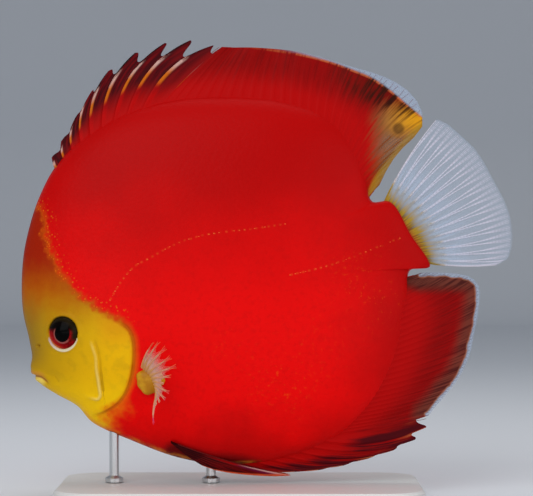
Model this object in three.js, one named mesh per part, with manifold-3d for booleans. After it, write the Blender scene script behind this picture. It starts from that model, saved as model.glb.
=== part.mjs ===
// A discus fish in the red form, life size, as a still display model on a plain stand.
// Millimetres, +Z up. The head points to -X with its nose down, and the left flank faces -Y.
// The origin is the middle of the underside of the stand's base.
// The body is modelled whole, as two flanks over one outline, and is parted with thin cuts.
// Fins are thin sheets whose rays are ridges in the sheet's own surface.

import * as THREE from "three";
import { mergeVertices } from "three/addons/utils/BufferGeometryUtils.js";
import Module from "manifold-3d";

const wasm = await Module();
wasm.setup();

// Gaps between neighbours
const GAP = 0.3;
const CUT_DEPTH = 40;

// Body outline, seen from the left, as [x, z] from the upper lip over the back and round to the chin
const BODY_OUTLINE = [
  [-64.6, 39.8], [-64.2, 43.2], [-65.1, 48.7], [-66.9, 56.6], [-67.4, 64.6], [-66.8, 74.5],
  [-65, 83.2], [-62.2, 91.8], [-57.4, 101.2], [-49.6, 109.9], [-38, 117.6], [-21.7, 122.6],
  [-3, 123.8], [14, 122.2], [27, 117.4], [35.5, 109.3], [39.2, 99.5], [40.6, 91.2],
  [46.6, 91], [52.9, 80.8], [58.8, 71], [52.4, 69.6], [52.6, 58], [49, 43],
  [41, 28.4], [29.5, 17.9], [15, 11.9], [-3, 9.8], [-18.6, 12], [-33.5, 17.4],
  [-45.6, 23], [-50.2, 28], [-56.6, 31.6], [-61.2, 34.6], [-63, 36.6],
];
// Where the back fin's base starts and ends on that outline, and the same for the anal fin, as point numbers
const BACK_BASE = [8, 17];
const ANAL_BASE = [27.3, 21.3];
const BODY_CENTRE = [-7.75, 68.4];

// Half thickness of the body: the middle, the edge's roundness and the local swells
const HALF_WIDTH = 12.2;
const EDGE_POWER = 2.4;
const EDGE_ROUND = 0.55;
const RIM_HALF = 0.5;
const TAIL_ROOT = { x: 53, z: 81, more: 2, reach: 9 };
const SWELLS = [
  { x: -50, z: 47, more: 3.6, reach: 15 },
  { x: -30, z: 38, more: 1.3, reach: 22 },
  { x: 46, z: 80, more: -5.5, reach: 22 },
];
const RINGS = 10;
const EASE_ANGLE = 0.45;
const EASE_POWER = 10;
const HEAD_STEPS = 30;
const REST_STEPS = 52;

// The rear half bends away from the viewer as in a slow turn
const SWEEP_START = 8;
const SWEEP_RATE = 0.00115;

// Where the head ends, behind the gill cover, and where the stalk of the tail begins, from top to bottom
const HEAD_END = [[-66, 103], [-55, 89], [-45.5, 73], [-37, 60.4], [-31.3, 51.6], [-30.9, 44],
  [-31.7, 37], [-34, 31], [-38.6, 25.8], [-44.4, 22.4], [-49, 18]];
const TAIL_START = [[46, 98], [41.8, 91], [42.4, 84.6], [46.6, 77], [51.2, 71], [57, 65.5]];

// Gill cover, a plate let into each cheek
const GILL_OUTLINE = [[-44.2, 50.6], [-39.6, 54.3], [-35.2, 53], [-32.7, 49], [-32.3, 44], [-33, 38.2],
  [-34.9, 32.7], [-37.4, 29.4], [-40.4, 28.2], [-41.9, 32.6], [-42.5, 38.8], [-43.2, 45]];
const GILL_THICK = 1.1;
const GILL_PROUD = 0.35;

// Bony ridge down the cheek, just before the gill cover, as a bead half sunk in the skin
const CHEEK_RIDGE = [[-45.4, 48.6], [-44.4, 45.2], [-43.9, 41.4], [-43.7, 37.4], [-43.2, 33], [-43.6, 30.2]];
const CHEEK_RIDGE_RADIUS = 0.55;

// Eye, a lens-shaped ball in a round socket with a low rim of skin
const EYE = { x: -54.1, z: 50.8, radius: 5.2, halfDepth: 3.4, sunk: 1.3, rim: 0.5 };

// Mouth and nose
const UPPER_LIP = { corner: [-59.4, 3.5, 37.4], front: [-63.7, 0, 39.3], thick: 1.45 };
const LOWER_LIP = { corner: [-59.2, 3.2, 35.9], front: [-61.7, 0, 35.8], thick: 1.35 };
const MOUTH = { x: -62.8, z: 37.3, length: 3.6, halfWidth: 3.1, halfHeight: 0.32, slope: -0.2 };
const NOSTRIL = { x: -61.6, z: 46.6, radius: 0.6 };

// Back fin: nine spines with pointed flaps, then soft rays
const SPINE_TIPS = [[-58.4, 104.8], [-55.4, 109.9], [-51.4, 116.6], [-46.3, 124.9], [-40.8, 131.6],
  [-32.6, 137.2], [-23.4, 140.3], [-15.5, 141.2], [-8.4, 139.6]];
const SPINE_SHARE = 0.3;
const BACK_MARGIN = [[-5.6, 139], [6.2, 138.8], [15.5, 138], [24.8, 136], [33.8, 133.2], [44.6, 130],
  [50.5, 127], [54.9, 122.6], [57, 117], [56, 113.2], [51.8, 109.2], [46.8, 103.2], [43.3, 96.4]];
const BACK_RAYS = 24;
const BACK_SPREAD = 1.5;
const BACK_PARTINGS = [SPINE_TIPS.length - 1, SPINE_TIPS.length + 11];

// Anal fin: short spines along the belly, then soft rays round to the tail
const ANAL_SPINE_TIPS = [[10, 7.8], [17, 7.5], [24.4, 8], [32, 9.3], [40, 11.4], [47.6, 13.9], [54.4, 17.2],
  [57.9, 21]];
const ANAL_SPINE_SHARE = 0.37;
const ANAL_MARGIN = [[58.6, 24.6], [63.9, 30.9], [68, 36], [71.2, 42.6], [73, 50], [74.4, 58],
  [74.6, 64.6], [72, 67.6], [66.4, 68.8], [60.4, 69.1], [56.4, 69]];
const ANAL_RAYS = 20;
const ANAL_SPREAD = 1.05;
const ANAL_PARTINGS = [ANAL_SPINE_TIPS.length - 1];

// Tail fin
const TAIL_ROOT_TOP = [43.4, 87.2];
const TAIL_ROOT_LOW = [55.2, 72.9];
const TAIL_MARGIN = [[61.3, 116.9], [64, 115.9], [68.8, 111.8], [73.3, 107.6], [76.6, 102.6], [79.7, 97],
  [82, 92.7], [83.9, 88], [85, 82.5], [85, 77.6], [83.9, 73.6], [80.4, 71.5]];
const TAIL_RAYS = 13;

// Median fins: half thickness of the membrane, of a ray at its root and of the fleshy base
const MEMBRANE_HALF = 0.28;
const RAY_HALF = 0.3;
const ROOT_HALF = 1;
const FIN_ROWS = 4;
const ROOT_DEPTH = 2.6;
const FLAP_STEPS = [0.45, 0.88];
const FLAP_DEPTH = 0.42;

// Paired fins on the left side; the right side is their mirror image
const PECTORAL = {
  root: [-27.3, 36.3], rootHeight: 6.2, rootLean: 0.83, rays: 9, rows: 5,
  pad: [4.3, 2.1, 4],
  // Where a ray ends from the middle of the root: back, out and up, from the leading ray to the last
  tips: [[1.6, 15.6, 12.2], [4.3, 18.4, 12.8], [6.6, 19.7, 9.6], [8.8, 19.2, 6], [8.4, 17.4, 1.8],
    [7.2, 14.2, -3.4], [5, 11.4, -8], [1.4, 8.4, -12.8]],
};
const PELVIC = {
  rootFront: [-21.2, 17.2], rootRear: [-15.8, 12.6], rays: 5, rows: 5, bow: -0.05,
  // Half the distance between the two fins at a low level, and how it grows upwards
  apart: 2, apartAt: 7, apartRise: 0.42,
  tips: [[15.6, 6.4], [10, 6.2], [4, 6.5], [-2, 7.1], [-7, 8], [-11.6, 9.6]],
};

// Stand
const BASE = { length: 112, width: 66, thick: 4, corner: 12, bevel: 0.8 };
const ROD_RADIUS = 1.5;
const ROD_COLLAR = { radius: 2.8, height: 1.2 };
const RODS = [["stand_rod_front", -39], ["stand_rod_rear", -9]];

// Closed smooth curve of the body, and short helpers on it
const flat = ([x, z]) => new THREE.Vector3(x, 0, z);
const openCurve = (points) => new THREE.CatmullRomCurve3(points.map(flat), false, "centripetal");
const bodyCurve = new THREE.CatmullRomCurve3(BODY_OUTLINE.map(flat), true, "centripetal");
const rimAt = (number) => bodyCurve.getPoint((number / BODY_OUTLINE.length + 1) % 1);

// The outline's reach from the centre at any angle, read from fine steps along the curve
const REACH_STEPS = 900;
const reachTable = Array.from({ length: REACH_STEPS }, (_, i) => {
  const p = bodyCurve.getPoint(i / REACH_STEPS);
  const dx = p.x - BODY_CENTRE[0];
  const dz = p.z - BODY_CENTRE[1];
  return [Math.atan2(dz, dx), Math.hypot(dx, dz)];
}).sort((a, b) => a[0] - b[0]);

function reachAt(angle) {
  const full = 2 * Math.PI;
  const turned = ((((angle + Math.PI) % full) + full) % full) - Math.PI;
  let high = reachTable.findIndex(([a]) => a > turned);
  if (high < 0) high = 0;
  const low = (high + REACH_STEPS - 1) % REACH_STEPS;
  const span = (reachTable[high][0] - reachTable[low][0] + full) % full;
  const share = ((turned - reachTable[low][0] + full) % full) / (span || 1);
  return THREE.MathUtils.lerp(reachTable[low][1], reachTable[high][1], share);
}

// The same without the notches and the stalk of the tail, which the inner rings follow
function easyReachAt(angle) {
  let sum = 0;
  let weights = 0;
  for (let k = -12; k <= 12; k++) {
    const weight = 13 - Math.abs(k);
    sum += weight * reachAt(angle + (k * EASE_ANGLE) / 12);
    weights += weight;
  }
  return sum / weights;
}

// How far out from the centre the ring of a given share lies, between the eased and the true outline
function ringReach(share, easy, reach) {
  return share * THREE.MathUtils.lerp(easy, reach, share ** EASE_POWER);
}

function shareAt(x, z) {
  const dx = x - BODY_CENTRE[0];
  const dz = z - BODY_CENTRE[1];
  const angle = Math.atan2(dz, dx);
  const [reach, easy, distance] = [reachAt(angle), easyReachAt(angle), Math.hypot(dx, dz)];
  let [low, high] = [0, 1];
  for (let k = 0; k < 16; k++) {
    const half = (low + high) / 2;
    if (ringReach(half, easy, reach) < distance) low = half;
    else high = half;
  }
  return high;
}

const bell = (x, z, spot) => Math.exp(-((x - spot.x) ** 2 + (z - spot.z) ** 2) / (2 * spot.reach ** 2));

// Half thickness at a point of the body's side view that lies at this share of the way out to the rim
function halfWidthAt(x, z, share) {
  const rim = RIM_HALF + TAIL_ROOT.more * bell(x, z, TAIL_ROOT);
  const edge = Math.max(0, 1 - share ** EDGE_POWER) ** EDGE_ROUND;
  return rim + edge * SWELLS.reduce((sum, s) => sum + s.more * bell(x, z, s), HALF_WIDTH);
}

const flankAt = (x, z) => halfWidthAt(x, z, shareAt(x, z));

const sweep = (x) => SWEEP_RATE * Math.max(0, x - SWEEP_START) ** 2;

// Solids from closed meshes, and back to geometry
function solidFrom(points, faces) {
  const vertProperties = new Float32Array(points.flatMap((p) => [p.x, p.y, p.z]));
  const triVerts = new Uint32Array(faces.flat());
  return new wasm.Manifold(new wasm.Mesh({ numProp: 3, vertProperties, triVerts }));
}

function solidOf(geometry) {
  const bare = geometry.clone();
  bare.deleteAttribute("normal");
  bare.deleteAttribute("uv");
  const merged = mergeVertices(bare, 1e-3);
  const vertProperties = new Float32Array(merged.attributes.position.array);
  const triVerts = new Uint32Array(merged.index.array);
  return new wasm.Manifold(new wasm.Mesh({ numProp: 3, vertProperties, triVerts }));
}

function geometryOf(solid) {
  const { vertProperties, triVerts } = solid.getMesh();
  const geometry = new THREE.BufferGeometry();
  geometry.setAttribute("position", new THREE.BufferAttribute(new Float32Array(vertProperties), 3));
  geometry.setIndex(new THREE.BufferAttribute(new Uint32Array(triVerts), 1));
  return geometry;
}

const largest = (solid) => solid.decompose().sort((a, b) => b.volume() - a.volume())[0];

// Faces of a square grid whose points are numbered row by row, turned round for the far side
function gridFaces(columns, rows, first, outward) {
  const faces = [];
  for (let i = 0; i < columns - 1; i++) {
    for (let j = 0; j < rows - 1; j++) {
      const a = first + i * rows + j;
      const [b, c, d] = [a + rows, a + rows + 1, a + 1];
      faces.push(...(outward ? [[a, b, c], [a, c, d]] : [[a, c, b], [a, d, c]]));
    }
  }
  return faces;
}

// A thin closed sheet over a grid: middle[i][j] is its middle surface, side(i, j) the step to one face
function sheet(middle, side) {
  const columns = middle.length;
  const rows = middle[0].length;
  const count = columns * rows;
  const near = middle.flatMap((column, i) => column.map((p, j) => p.clone().add(side(i, j))));
  const far = middle.flatMap((column, i) => column.map((p, j) => p.clone().sub(side(i, j))));
  const faces = [...gridFaces(columns, rows, 0, true), ...gridFaces(columns, rows, count, false)];
  const rim = [];
  for (let i = 0; i < columns; i++) rim.push(i * rows);
  for (let j = 1; j < rows; j++) rim.push((columns - 1) * rows + j);
  for (let i = columns - 2; i >= 0; i--) rim.push(i * rows + rows - 1);
  for (let j = rows - 2; j > 0; j--) rim.push(j);
  rim.forEach((a, k) => {
    const b = rim[(k + 1) % rim.length];
    faces.push([a, a + count, b + count], [a, b + count, b]);
  });
  const solid = solidFrom([...near, ...far], faces);
  return solid.volume() > 0 ? solid : solidFrom([...near, ...far], faces.map(([a, b, c]) => [a, c, b]));
}

// The whole body, grown outwards by a margin: rings of points from the centre to the rim on both sides
function bodySolid(grow) {
  const headShare = 11 / BODY_OUTLINE.length;
  const turns = [];
  const start = 30.5 / BODY_OUTLINE.length;
  const restShare = 1 - headShare;
  for (let i = 0; i < HEAD_STEPS; i++) turns.push((start + (headShare * i) / HEAD_STEPS) % 1);
  for (let i = 0; i < REST_STEPS; i++) turns.push((start + headShare + (restShare * i) / REST_STEPS) % 1);
  const steps = turns.length;
  const rim = turns.map((t) => {
    const p = bodyCurve.getPoint(t);
    const [dx, dz] = [p.x - BODY_CENTRE[0], p.z - BODY_CENTRE[1]];
    const angle = Math.atan2(dz, dx);
    return { angle, reach: Math.hypot(dx, dz), easy: easyReachAt(angle) };
  });
  const points = [];
  for (const side of [-1, 1]) {
    points.push(new THREE.Vector3(BODY_CENTRE[0], side * halfWidthAt(...BODY_CENTRE, 0), BODY_CENTRE[1]));
    for (let k = 1; k <= RINGS; k++) {
      const share = Math.sin((Math.PI / 2) * (k / RINGS)) ** 0.92;
      for (const { angle, reach, easy } of rim) {
        const out = ringReach(share, easy, reach);
        const x = BODY_CENTRE[0] + out * Math.cos(angle);
        const z = BODY_CENTRE[1] + out * Math.sin(angle);
        points.push(new THREE.Vector3(x, side * halfWidthAt(x, z, share), z));
      }
    }
  }
  const half = points.length / 2;
  const faces = [];
  const at = (side, ring, i) => side * half + 1 + (ring - 1) * steps + (i % steps);
  for (const side of [0, 1]) {
    const put = (a, b, c) => faces.push(side ? [a, c, b] : [a, b, c]);
    for (let i = 0; i < steps; i++) {
      put(side * half, at(side, 1, i), at(side, 1, i + 1));
      for (let k = 1; k < RINGS; k++) {
        put(at(side, k, i), at(side, k + 1, i), at(side, k + 1, i + 1));
        put(at(side, k, i), at(side, k + 1, i + 1), at(side, k, i + 1));
      }
    }
  }
  for (let i = 0; i < steps; i++) {
    const [a, b] = [at(0, RINGS, i), at(0, RINGS, i + 1)];
    const [c, d] = [at(1, RINGS, i), at(1, RINGS, i + 1)];
    faces.push([a, d, b], [a, c, d]);
  }
  if (grow) {
    const shell = new THREE.BufferGeometry().setFromPoints(points).setIndex(faces.flat());
    shell.computeVertexNormals();
    const normals = shell.attributes.normal;
    const sign = normals.getY(0) * points[0].y > 0 ? grow : -grow;
    points.forEach((p, i) => p.addScaledVector(new THREE.Vector3().fromBufferAttribute(normals, i), sign));
  }
  points.forEach((p) => { p.y += sweep(p.x); });
  const solid = solidFrom(points, faces);
  return solid.volume() > 0 ? solid : solidFrom(points, faces.map(([a, b, c]) => [a, c, b]));
}

// A prism that runs right through the body along Y, from an outline in the side view
function prism(outline) {
  const shape = new THREE.Shape(outline.map(([x, z]) => new THREE.Vector2(x, z)));
  const geometry = new THREE.ExtrudeGeometry(shape, { depth: 2 * CUT_DEPTH, bevelEnabled: false, steps: 1 });
  geometry.rotateX(Math.PI / 2);
  geometry.translate(0, CUT_DEPTH, 0);
  return solidOf(geometry);
}

// A thin curved cut along a line of points
function cut(points) {
  const curve = openCurve(points);
  const steps = 3 * points.length;
  const near = [];
  const far = [];
  for (let i = 0; i <= steps; i++) {
    const p = curve.getPoint(i / steps);
    const way = curve.getTangent(i / steps);
    near.push([p.x - (way.z * GAP) / 2, p.z + (way.x * GAP) / 2]);
    far.unshift([p.x + (way.z * GAP) / 2, p.z - (way.x * GAP) / 2]);
  }
  return prism([...near, ...far]);
}

// The same outline drawn in or out by a margin
function outset(outline, margin) {
  const curve = new THREE.CatmullRomCurve3(outline.map(flat), true, "centripetal");
  const points = curve.getPoints(1.5 * outline.length);
  points.pop();
  const clockwise = THREE.ShapeUtils.isClockWise(points.map((p) => new THREE.Vector2(p.x, p.z)));
  return points.map((p, i) => {
    const before = points[(i + points.length - 1) % points.length];
    const after = points[(i + 1) % points.length];
    const way = after.clone().sub(before).normalize().multiplyScalar(clockwise ? -margin : margin);
    return [p.x + way.z, p.z - way.x];
  });
}

// The point and outward direction of the flank at one side; side is -1 on the left and 1 on the right
function onFlank(x, z, side) {
  const step = 0.4;
  const slopeX = (flankAt(x + step, z) - flankAt(x - step, z)) / (2 * step);
  const slopeZ = (flankAt(x, z + step) - flankAt(x, z - step)) / (2 * step);
  return {
    point: new THREE.Vector3(x, side * flankAt(x, z) + sweep(x), z),
    out: new THREE.Vector3(-slopeX, side, -slopeZ).normalize(),
  };
}

// A tube with a round end at each side, along a smooth curve
function roll(points, radius, sides = 5, steps = 9) {
  const path = new THREE.CatmullRomCurve3(points.map((p) => new THREE.Vector3(...p)), false, "centripetal");
  const section = new THREE.Shape().absarc(0, 0, radius, 0, 2 * Math.PI);
  const options = { steps, curveSegments: sides, extrudePath: path, bevelEnabled: false };
  return solidOf(new THREE.ExtrudeGeometry(section, options));
}

function ball(centre, radii, across = 20, down = 12) {
  const geometry = new THREE.SphereGeometry(1, across, down);
  geometry.scale(...radii);
  geometry.translate(...centre);
  return solidOf(geometry);
}

// A ball stretched along the flank's outward direction
function lens(spot, sunk, radius, halfDepth, side) {
  const { point, out } = onFlank(spot.x, spot.z, side);
  const geometry = new THREE.SphereGeometry(1, 18, 9);
  geometry.rotateX(Math.PI / 2);
  geometry.scale(radius, radius, halfDepth);
  geometry.applyQuaternion(new THREE.Quaternion().setFromUnitVectors(new THREE.Vector3(0, 0, 1), out));
  const middle = point.clone().addScaledVector(out, -sunk);
  geometry.translate(middle.x, middle.y, middle.z);
  return solidOf(geometry);
}

function ringRound(spot, radius, thick, side) {
  const { point, out } = onFlank(spot.x, spot.z, side);
  const geometry = new THREE.TorusGeometry(radius, thick, 6, 20);
  geometry.applyQuaternion(new THREE.Quaternion().setFromUnitVectors(new THREE.Vector3(0, 0, 1), out));
  geometry.translate(point.x, point.y, point.z);
  return solidOf(geometry);
}

// A ray's path from base to tip, bowed towards the front of the fin
function rayPath(base, tip, bow) {
  const chord = tip.clone().sub(base);
  const middle = base.clone().addScaledVector(chord, 0.5);
  const across = new THREE.Vector3(-chord.z, 0, chord.x).multiplyScalar(bow);
  return new THREE.QuadraticBezierCurve3(base, middle.add(across), tip);
}

// A median fin: each ray has a base, a tip and a bow, and a flap where its membrane is notched
function medianFin(rays) {
  const columns = [];
  rays.forEach((ray, k) => {
    const next = rays[k + 1];
    columns.push({ from: ray, to: ray, share: 0, end: 1, ridge: 1 });
    if (!next) return;
    const stepsBetween = ray.flap ? FLAP_STEPS : [0.5];
    for (const share of stepsBetween) {
      const fall = ray.flap ? ray.flap * THREE.MathUtils.smoothstep(share, 0, 0.9) : 0;
      columns.push({ from: ray, to: next, share, end: 1 - fall, ridge: 0 });
    }
  });
  const middle = columns.map(({ from, to, share, end }) => {
    const pathFrom = rayPath(from.base, from.tip, from.bow);
    const pathTo = rayPath(to.base, to.tip, to.bow);
    return Array.from({ length: FIN_ROWS + 1 }, (_, j) => {
      const along = (j / FIN_ROWS) * end;
      const p = pathFrom.getPoint(along).lerp(pathTo.getPoint(along), share);
      p.y = sweep(p.x);
      return p;
    });
  });
  return sheet(middle, (i, j) => {
    const along = j / FIN_ROWS;
    const root = ROOT_HALF * (1 - along) ** 5;
    const ridge = columns[i].ridge * RAY_HALF * (1 - along) ** 0.7;
    return new THREE.Vector3(0, -(MEMBRANE_HALF + root + ridge), 0);
  });
}

// A base point on the rim of the body, a little way in so that the root is well sunk
function sunkBase(number, depth = ROOT_DEPTH) {
  const p = rimAt(number);
  const inward = new THREE.Vector3(BODY_CENTRE[0] - p.x, 0, BODY_CENTRE[1] - p.z).normalize();
  return p.addScaledVector(inward, depth);
}

// Rays of a fin that starts with notched spines and goes on in soft rays
function spinyFinRays({ from, to, spineTips, spineShare, flap, bow, margin, softRays, spread, softBow }) {
  const marginCurve = openCurve(margin);
  const spines = spineTips.map((tip, k) => ({
    base: sunkBase(from + (to - from) * spineShare * (k / spineTips.length)),
    tip: flat(tip), bow, flap,
  }));
  const soft = Array.from({ length: softRays }, (_, k) => {
    const share = k / (softRays - 1);
    return {
      base: sunkBase(from + (to - from) * (spineShare + (1 - spineShare) * share)),
      tip: marginCurve.getPointAt(share ** spread), bow: softBow, flap: 0,
    };
  });
  return [...spines, ...soft];
}

const backRays = spinyFinRays({
  from: BACK_BASE[0], to: BACK_BASE[1], spineTips: SPINE_TIPS, spineShare: SPINE_SHARE, flap: FLAP_DEPTH,
  bow: 0.26,
  margin: BACK_MARGIN, softRays: BACK_RAYS, spread: BACK_SPREAD, softBow: 0.07,
});
const analRays = spinyFinRays({
  from: ANAL_BASE[0], to: ANAL_BASE[1], spineTips: ANAL_SPINE_TIPS, spineShare: ANAL_SPINE_SHARE, flap: 0.12,
  bow: -0.16, margin: ANAL_MARGIN, softRays: ANAL_RAYS, spread: ANAL_SPREAD, softBow: -0.05,
});
const tailMargin = openCurve(TAIL_MARGIN);
const tailRays = Array.from({ length: TAIL_RAYS }, (_, k) => {
  const share = k / (TAIL_RAYS - 1);
  return {
    base: flat(TAIL_ROOT_TOP).lerp(flat(TAIL_ROOT_LOW), share),
    tip: tailMargin.getPointAt(share), bow: 0.08 * (1 - 2 * share), flap: 0,
  };
});

// A breast fin: a cupped fan that stands out from the flank, on a fleshy pad
function pectoralFin(side, body) {
  const { root, rootHeight, rootLean, rays, rows, pad, tips } = PECTORAL;
  const { point, out } = onFlank(...root, side);
  const tipPoints = tips.map(([back, far, up]) => new THREE.Vector3(back, side * far, up));
  const tipCurve = new THREE.CatmullRomCurve3(tipPoints, false, "centripetal");
  const columns = 2 * rays - 1;
  const middle = Array.from({ length: columns }, (_, i) => {
    const share = i / (columns - 1);
    const rise = (0.5 - share) * rootHeight;
    const base = point.clone().add(new THREE.Vector3(-rise * rootLean, 0, rise)).addScaledVector(out, -1.2);
    const tip = point.clone().add(tipCurve.getPointAt(share));
    const bend = base.clone().lerp(tip, 0.5).add(new THREE.Vector3(-1.2, side * 1.6, 0));
    const path = new THREE.QuadraticBezierCurve3(base, bend, tip);
    return path.getPoints(rows);
  });
  const blade = sheet(middle, (i, j) => {
    const alongColumn = middle[i][Math.min(rows, j + 1)].clone().sub(middle[i][Math.max(0, j - 1)]);
    const across = middle[Math.min(columns - 1, i + 1)][j].clone().sub(middle[Math.max(0, i - 1)][j]);
    const along = j / rows;
    const ridge = i % 2 ? 0 : RAY_HALF * (1 - along) ** 0.7;
    const half = MEMBRANE_HALF + ridge + 0.3 * (1 - along) ** 4;
    return across.cross(alongColumn).normalize().multiplyScalar(half);
  });
  const padSolid = ball(point.toArray(), pad, 14, 10);
  return largest(blade.add(padSolid).subtract(body));
}

// A belly fin: a narrow pointed blade folded back along the belly
function pelvicFin(side, fleshGrown) {
  const { rootFront, rootRear, rays, rows, bow, apart, apartAt, apartRise, tips } = PELVIC;
  const tipCurve = openCurve(tips);
  const columns = 2 * rays - 1;
  const middle = Array.from({ length: columns }, (_, i) => {
    const share = i / (columns - 1);
    const base = flat(rootFront).lerp(flat(rootRear), share);
    const path = rayPath(base, tipCurve.getPointAt(share), bow * (1 - share));
    return path.getPoints(rows).map((p) => p.setY(side * (apart + apartRise * (p.z - apartAt))));
  });
  const blade = sheet(middle, (i, j) => {
    const along = j / rows;
    const ridge = i % 2 ? 0 : RAY_HALF * (1 - along) ** 0.7;
    return new THREE.Vector3(0, -side * (MEMBRANE_HALF + ridge + 0.7 * (1 - along) ** 5), 0);
  });
  return largest(blade.subtract(fleshGrown));
}

// A long fin parted midway between two of its rays, given by their numbers, into pieces from front to rear
function partedFin(rays, partings) {
  let fin = medianFin(rays).subtract(fleshGrown);
  for (const number of partings) {
    const paths = [rays[number], rays[number + 1]].map(({ base, tip, bow }) => rayPath(base, tip, bow));
    const line = [-0.1, 0, 0.25, 0.5, 0.75, 1, 1.2].map((along) => {
      const p = paths[0].getPoint(along).lerp(paths[1].getPoint(along), 0.5);
      return [p.x, p.z];
    });
    fin = fin.subtract(cut(line));
  }
  return fin.decompose()
    .sort((a, b) => b.volume() - a.volume())
    .slice(0, partings.length + 1)
    .sort((a, b) => a.boundingBox().min[0] - b.boundingBox().min[0]);
}

// Flesh, parted behind the gills and at the stalk of the tail
const flesh = bodySolid(0);
const fleshGrown = bodySolid(GAP);
const parted = flesh.subtract(cut(HEAD_END)).subtract(cut(TAIL_START)).decompose()
  .filter((piece) => piece.volume() > 100)
  .sort((a, b) => a.boundingBox().min[0] - b.boundingBox().min[0]);
const [headBlock, trunk, tailStalk] = parted;

const mouthSlit = ball([0, 0, 0], [MOUTH.length, MOUTH.halfWidth, MOUTH.halfHeight], 16, 8)
  .rotate([0, (MOUTH.slope * 180) / Math.PI, 0]).translate([MOUTH.x, 0, MOUTH.z]);
const lipPath = ({ corner: [x, y, z], front }) => [
  [x + 2, -y, z], [x, -y, z], front, [x, y, z], [x + 2, y, z],
];

let head = headBlock.add(roll(lipPath(UPPER_LIP), UPPER_LIP.thick));
head = head.add(roll(lipPath(LOWER_LIP), LOWER_LIP.thick));
const eyes = {};
const gillCovers = {};
for (const [name, side] of [["left", -1], ["right", 1]]) {
  head = head.add(ringRound(EYE, EYE.radius, EYE.rim, side));
  const socket = lens(EYE, EYE.sunk, EYE.radius + GAP, EYE.halfDepth + GAP, side);
  head = head.subtract(socket);
  eyes[name] = lens(EYE, EYE.sunk, EYE.radius, EYE.halfDepth, side);
  const nose = onFlank(NOSTRIL.x, NOSTRIL.z, side).point;
  head = head.subtract(ball(nose.toArray(), Array(3).fill(NOSTRIL.radius), 10, 8));
  const ridge = CHEEK_RIDGE.map(([x, z]) => onFlank(x, z, side).point.toArray());
  head = head.add(roll(ridge, CHEEK_RIDGE_RADIUS, 4, 8));
}
head = largest(head.subtract(mouthSlit));

const underPlate = bodySolid(-GILL_THICK);
const pocketFloor = bodySolid(-GILL_THICK - GAP);
const platesBlank = bodySolid(GILL_PROUD).intersect(prism(outset(GILL_OUTLINE, 0))).subtract(underPlate);
const halves = platesBlank.decompose().sort((a, b) => b.volume() - a.volume()).slice(0, 2);
for (const piece of halves) {
  gillCovers[piece.boundingBox().max[1] < 0 ? "left" : "right"] = piece;
}
head = largest(head.subtract(prism(outset(GILL_OUTLINE, GAP)).subtract(pocketFloor)));
const aboutPlates = bodySolid(GILL_PROUD + GAP).intersect(prism(outset(GILL_OUTLINE, 1.5 * GAP)));
const clearOfGills = fleshGrown.add(aboutPlates);

// Display stand: a flat base with eased edges and two upright rods that meet the belly
function baseSolid() {
  const { length, width, thick, corner, bevel } = BASE;
  const [halfX, halfY] = [length / 2 - bevel, width / 2 - bevel];
  const shape = new THREE.Shape();
  shape.moveTo(-halfX + corner, -halfY);
  shape.lineTo(halfX - corner, -halfY);
  shape.absarc(halfX - corner, -halfY + corner, corner, -Math.PI / 2, 0);
  shape.absarc(halfX - corner, halfY - corner, corner, 0, Math.PI / 2);
  shape.absarc(-halfX + corner, halfY - corner, corner, Math.PI / 2, Math.PI);
  shape.absarc(-halfX + corner, -halfY + corner, corner, Math.PI, 1.5 * Math.PI);
  const eased = { bevelThickness: bevel, bevelSize: bevel, bevelSegments: 1 };
  const plate = new THREE.ExtrudeGeometry(shape, { depth: thick - 2 * bevel, curveSegments: 5, ...eased });
  plate.translate(0, 0, bevel);
  return solidOf(plate);
}

function rodSolid(x) {
  const top = BODY_CENTRE[1];
  const foot = BASE.thick + GAP;
  const half = [[0, foot], [ROD_COLLAR.radius, foot], [ROD_COLLAR.radius, foot + ROD_COLLAR.height],
    [ROD_RADIUS, foot + ROD_COLLAR.height + 0.8], [ROD_RADIUS, top], [0, top]];
  const lathe = new THREE.LatheGeometry(half.map(([r, z]) => new THREE.Vector2(r, z)), 20);
  lathe.rotateX(Math.PI / 2);
  lathe.translate(x, 0, 0);
  const pieces = solidOf(lathe).subtract(fleshGrown).decompose();
  return pieces.sort((a, b) => a.boundingBox().min[2] - b.boundingBox().min[2])[0];
}

// Finishes and the scene graph
const finishes = {
  red_skin: { color: 0xd01405, roughness: 0.42, metalness: 0 },
  yellow_skin: { color: 0xc99a12, roughness: 0.4, metalness: 0 },
  fin: { color: 0xb01008, roughness: 0.5, metalness: 0 },
  clear_fin: { color: 0xc9c6cf, roughness: 0.35, metalness: 0 },
  eye: { color: 0x5a0a0a, roughness: 0.08, metalness: 0 },
  stand: { color: 0xd9d8d4, roughness: 0.45, metalness: 0 },
  rod: { color: 0xb9bcc0, roughness: 0.25, metalness: 1 },
};
const fish = new THREE.Group();
const stand = new THREE.Group();

function place(group, name, solid, finish) {
  const mesh = new THREE.Mesh(geometryOf(solid), new THREE.MeshStandardMaterial(finishes[finish]));
  mesh.name = name;
  group.add(mesh);
}

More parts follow.
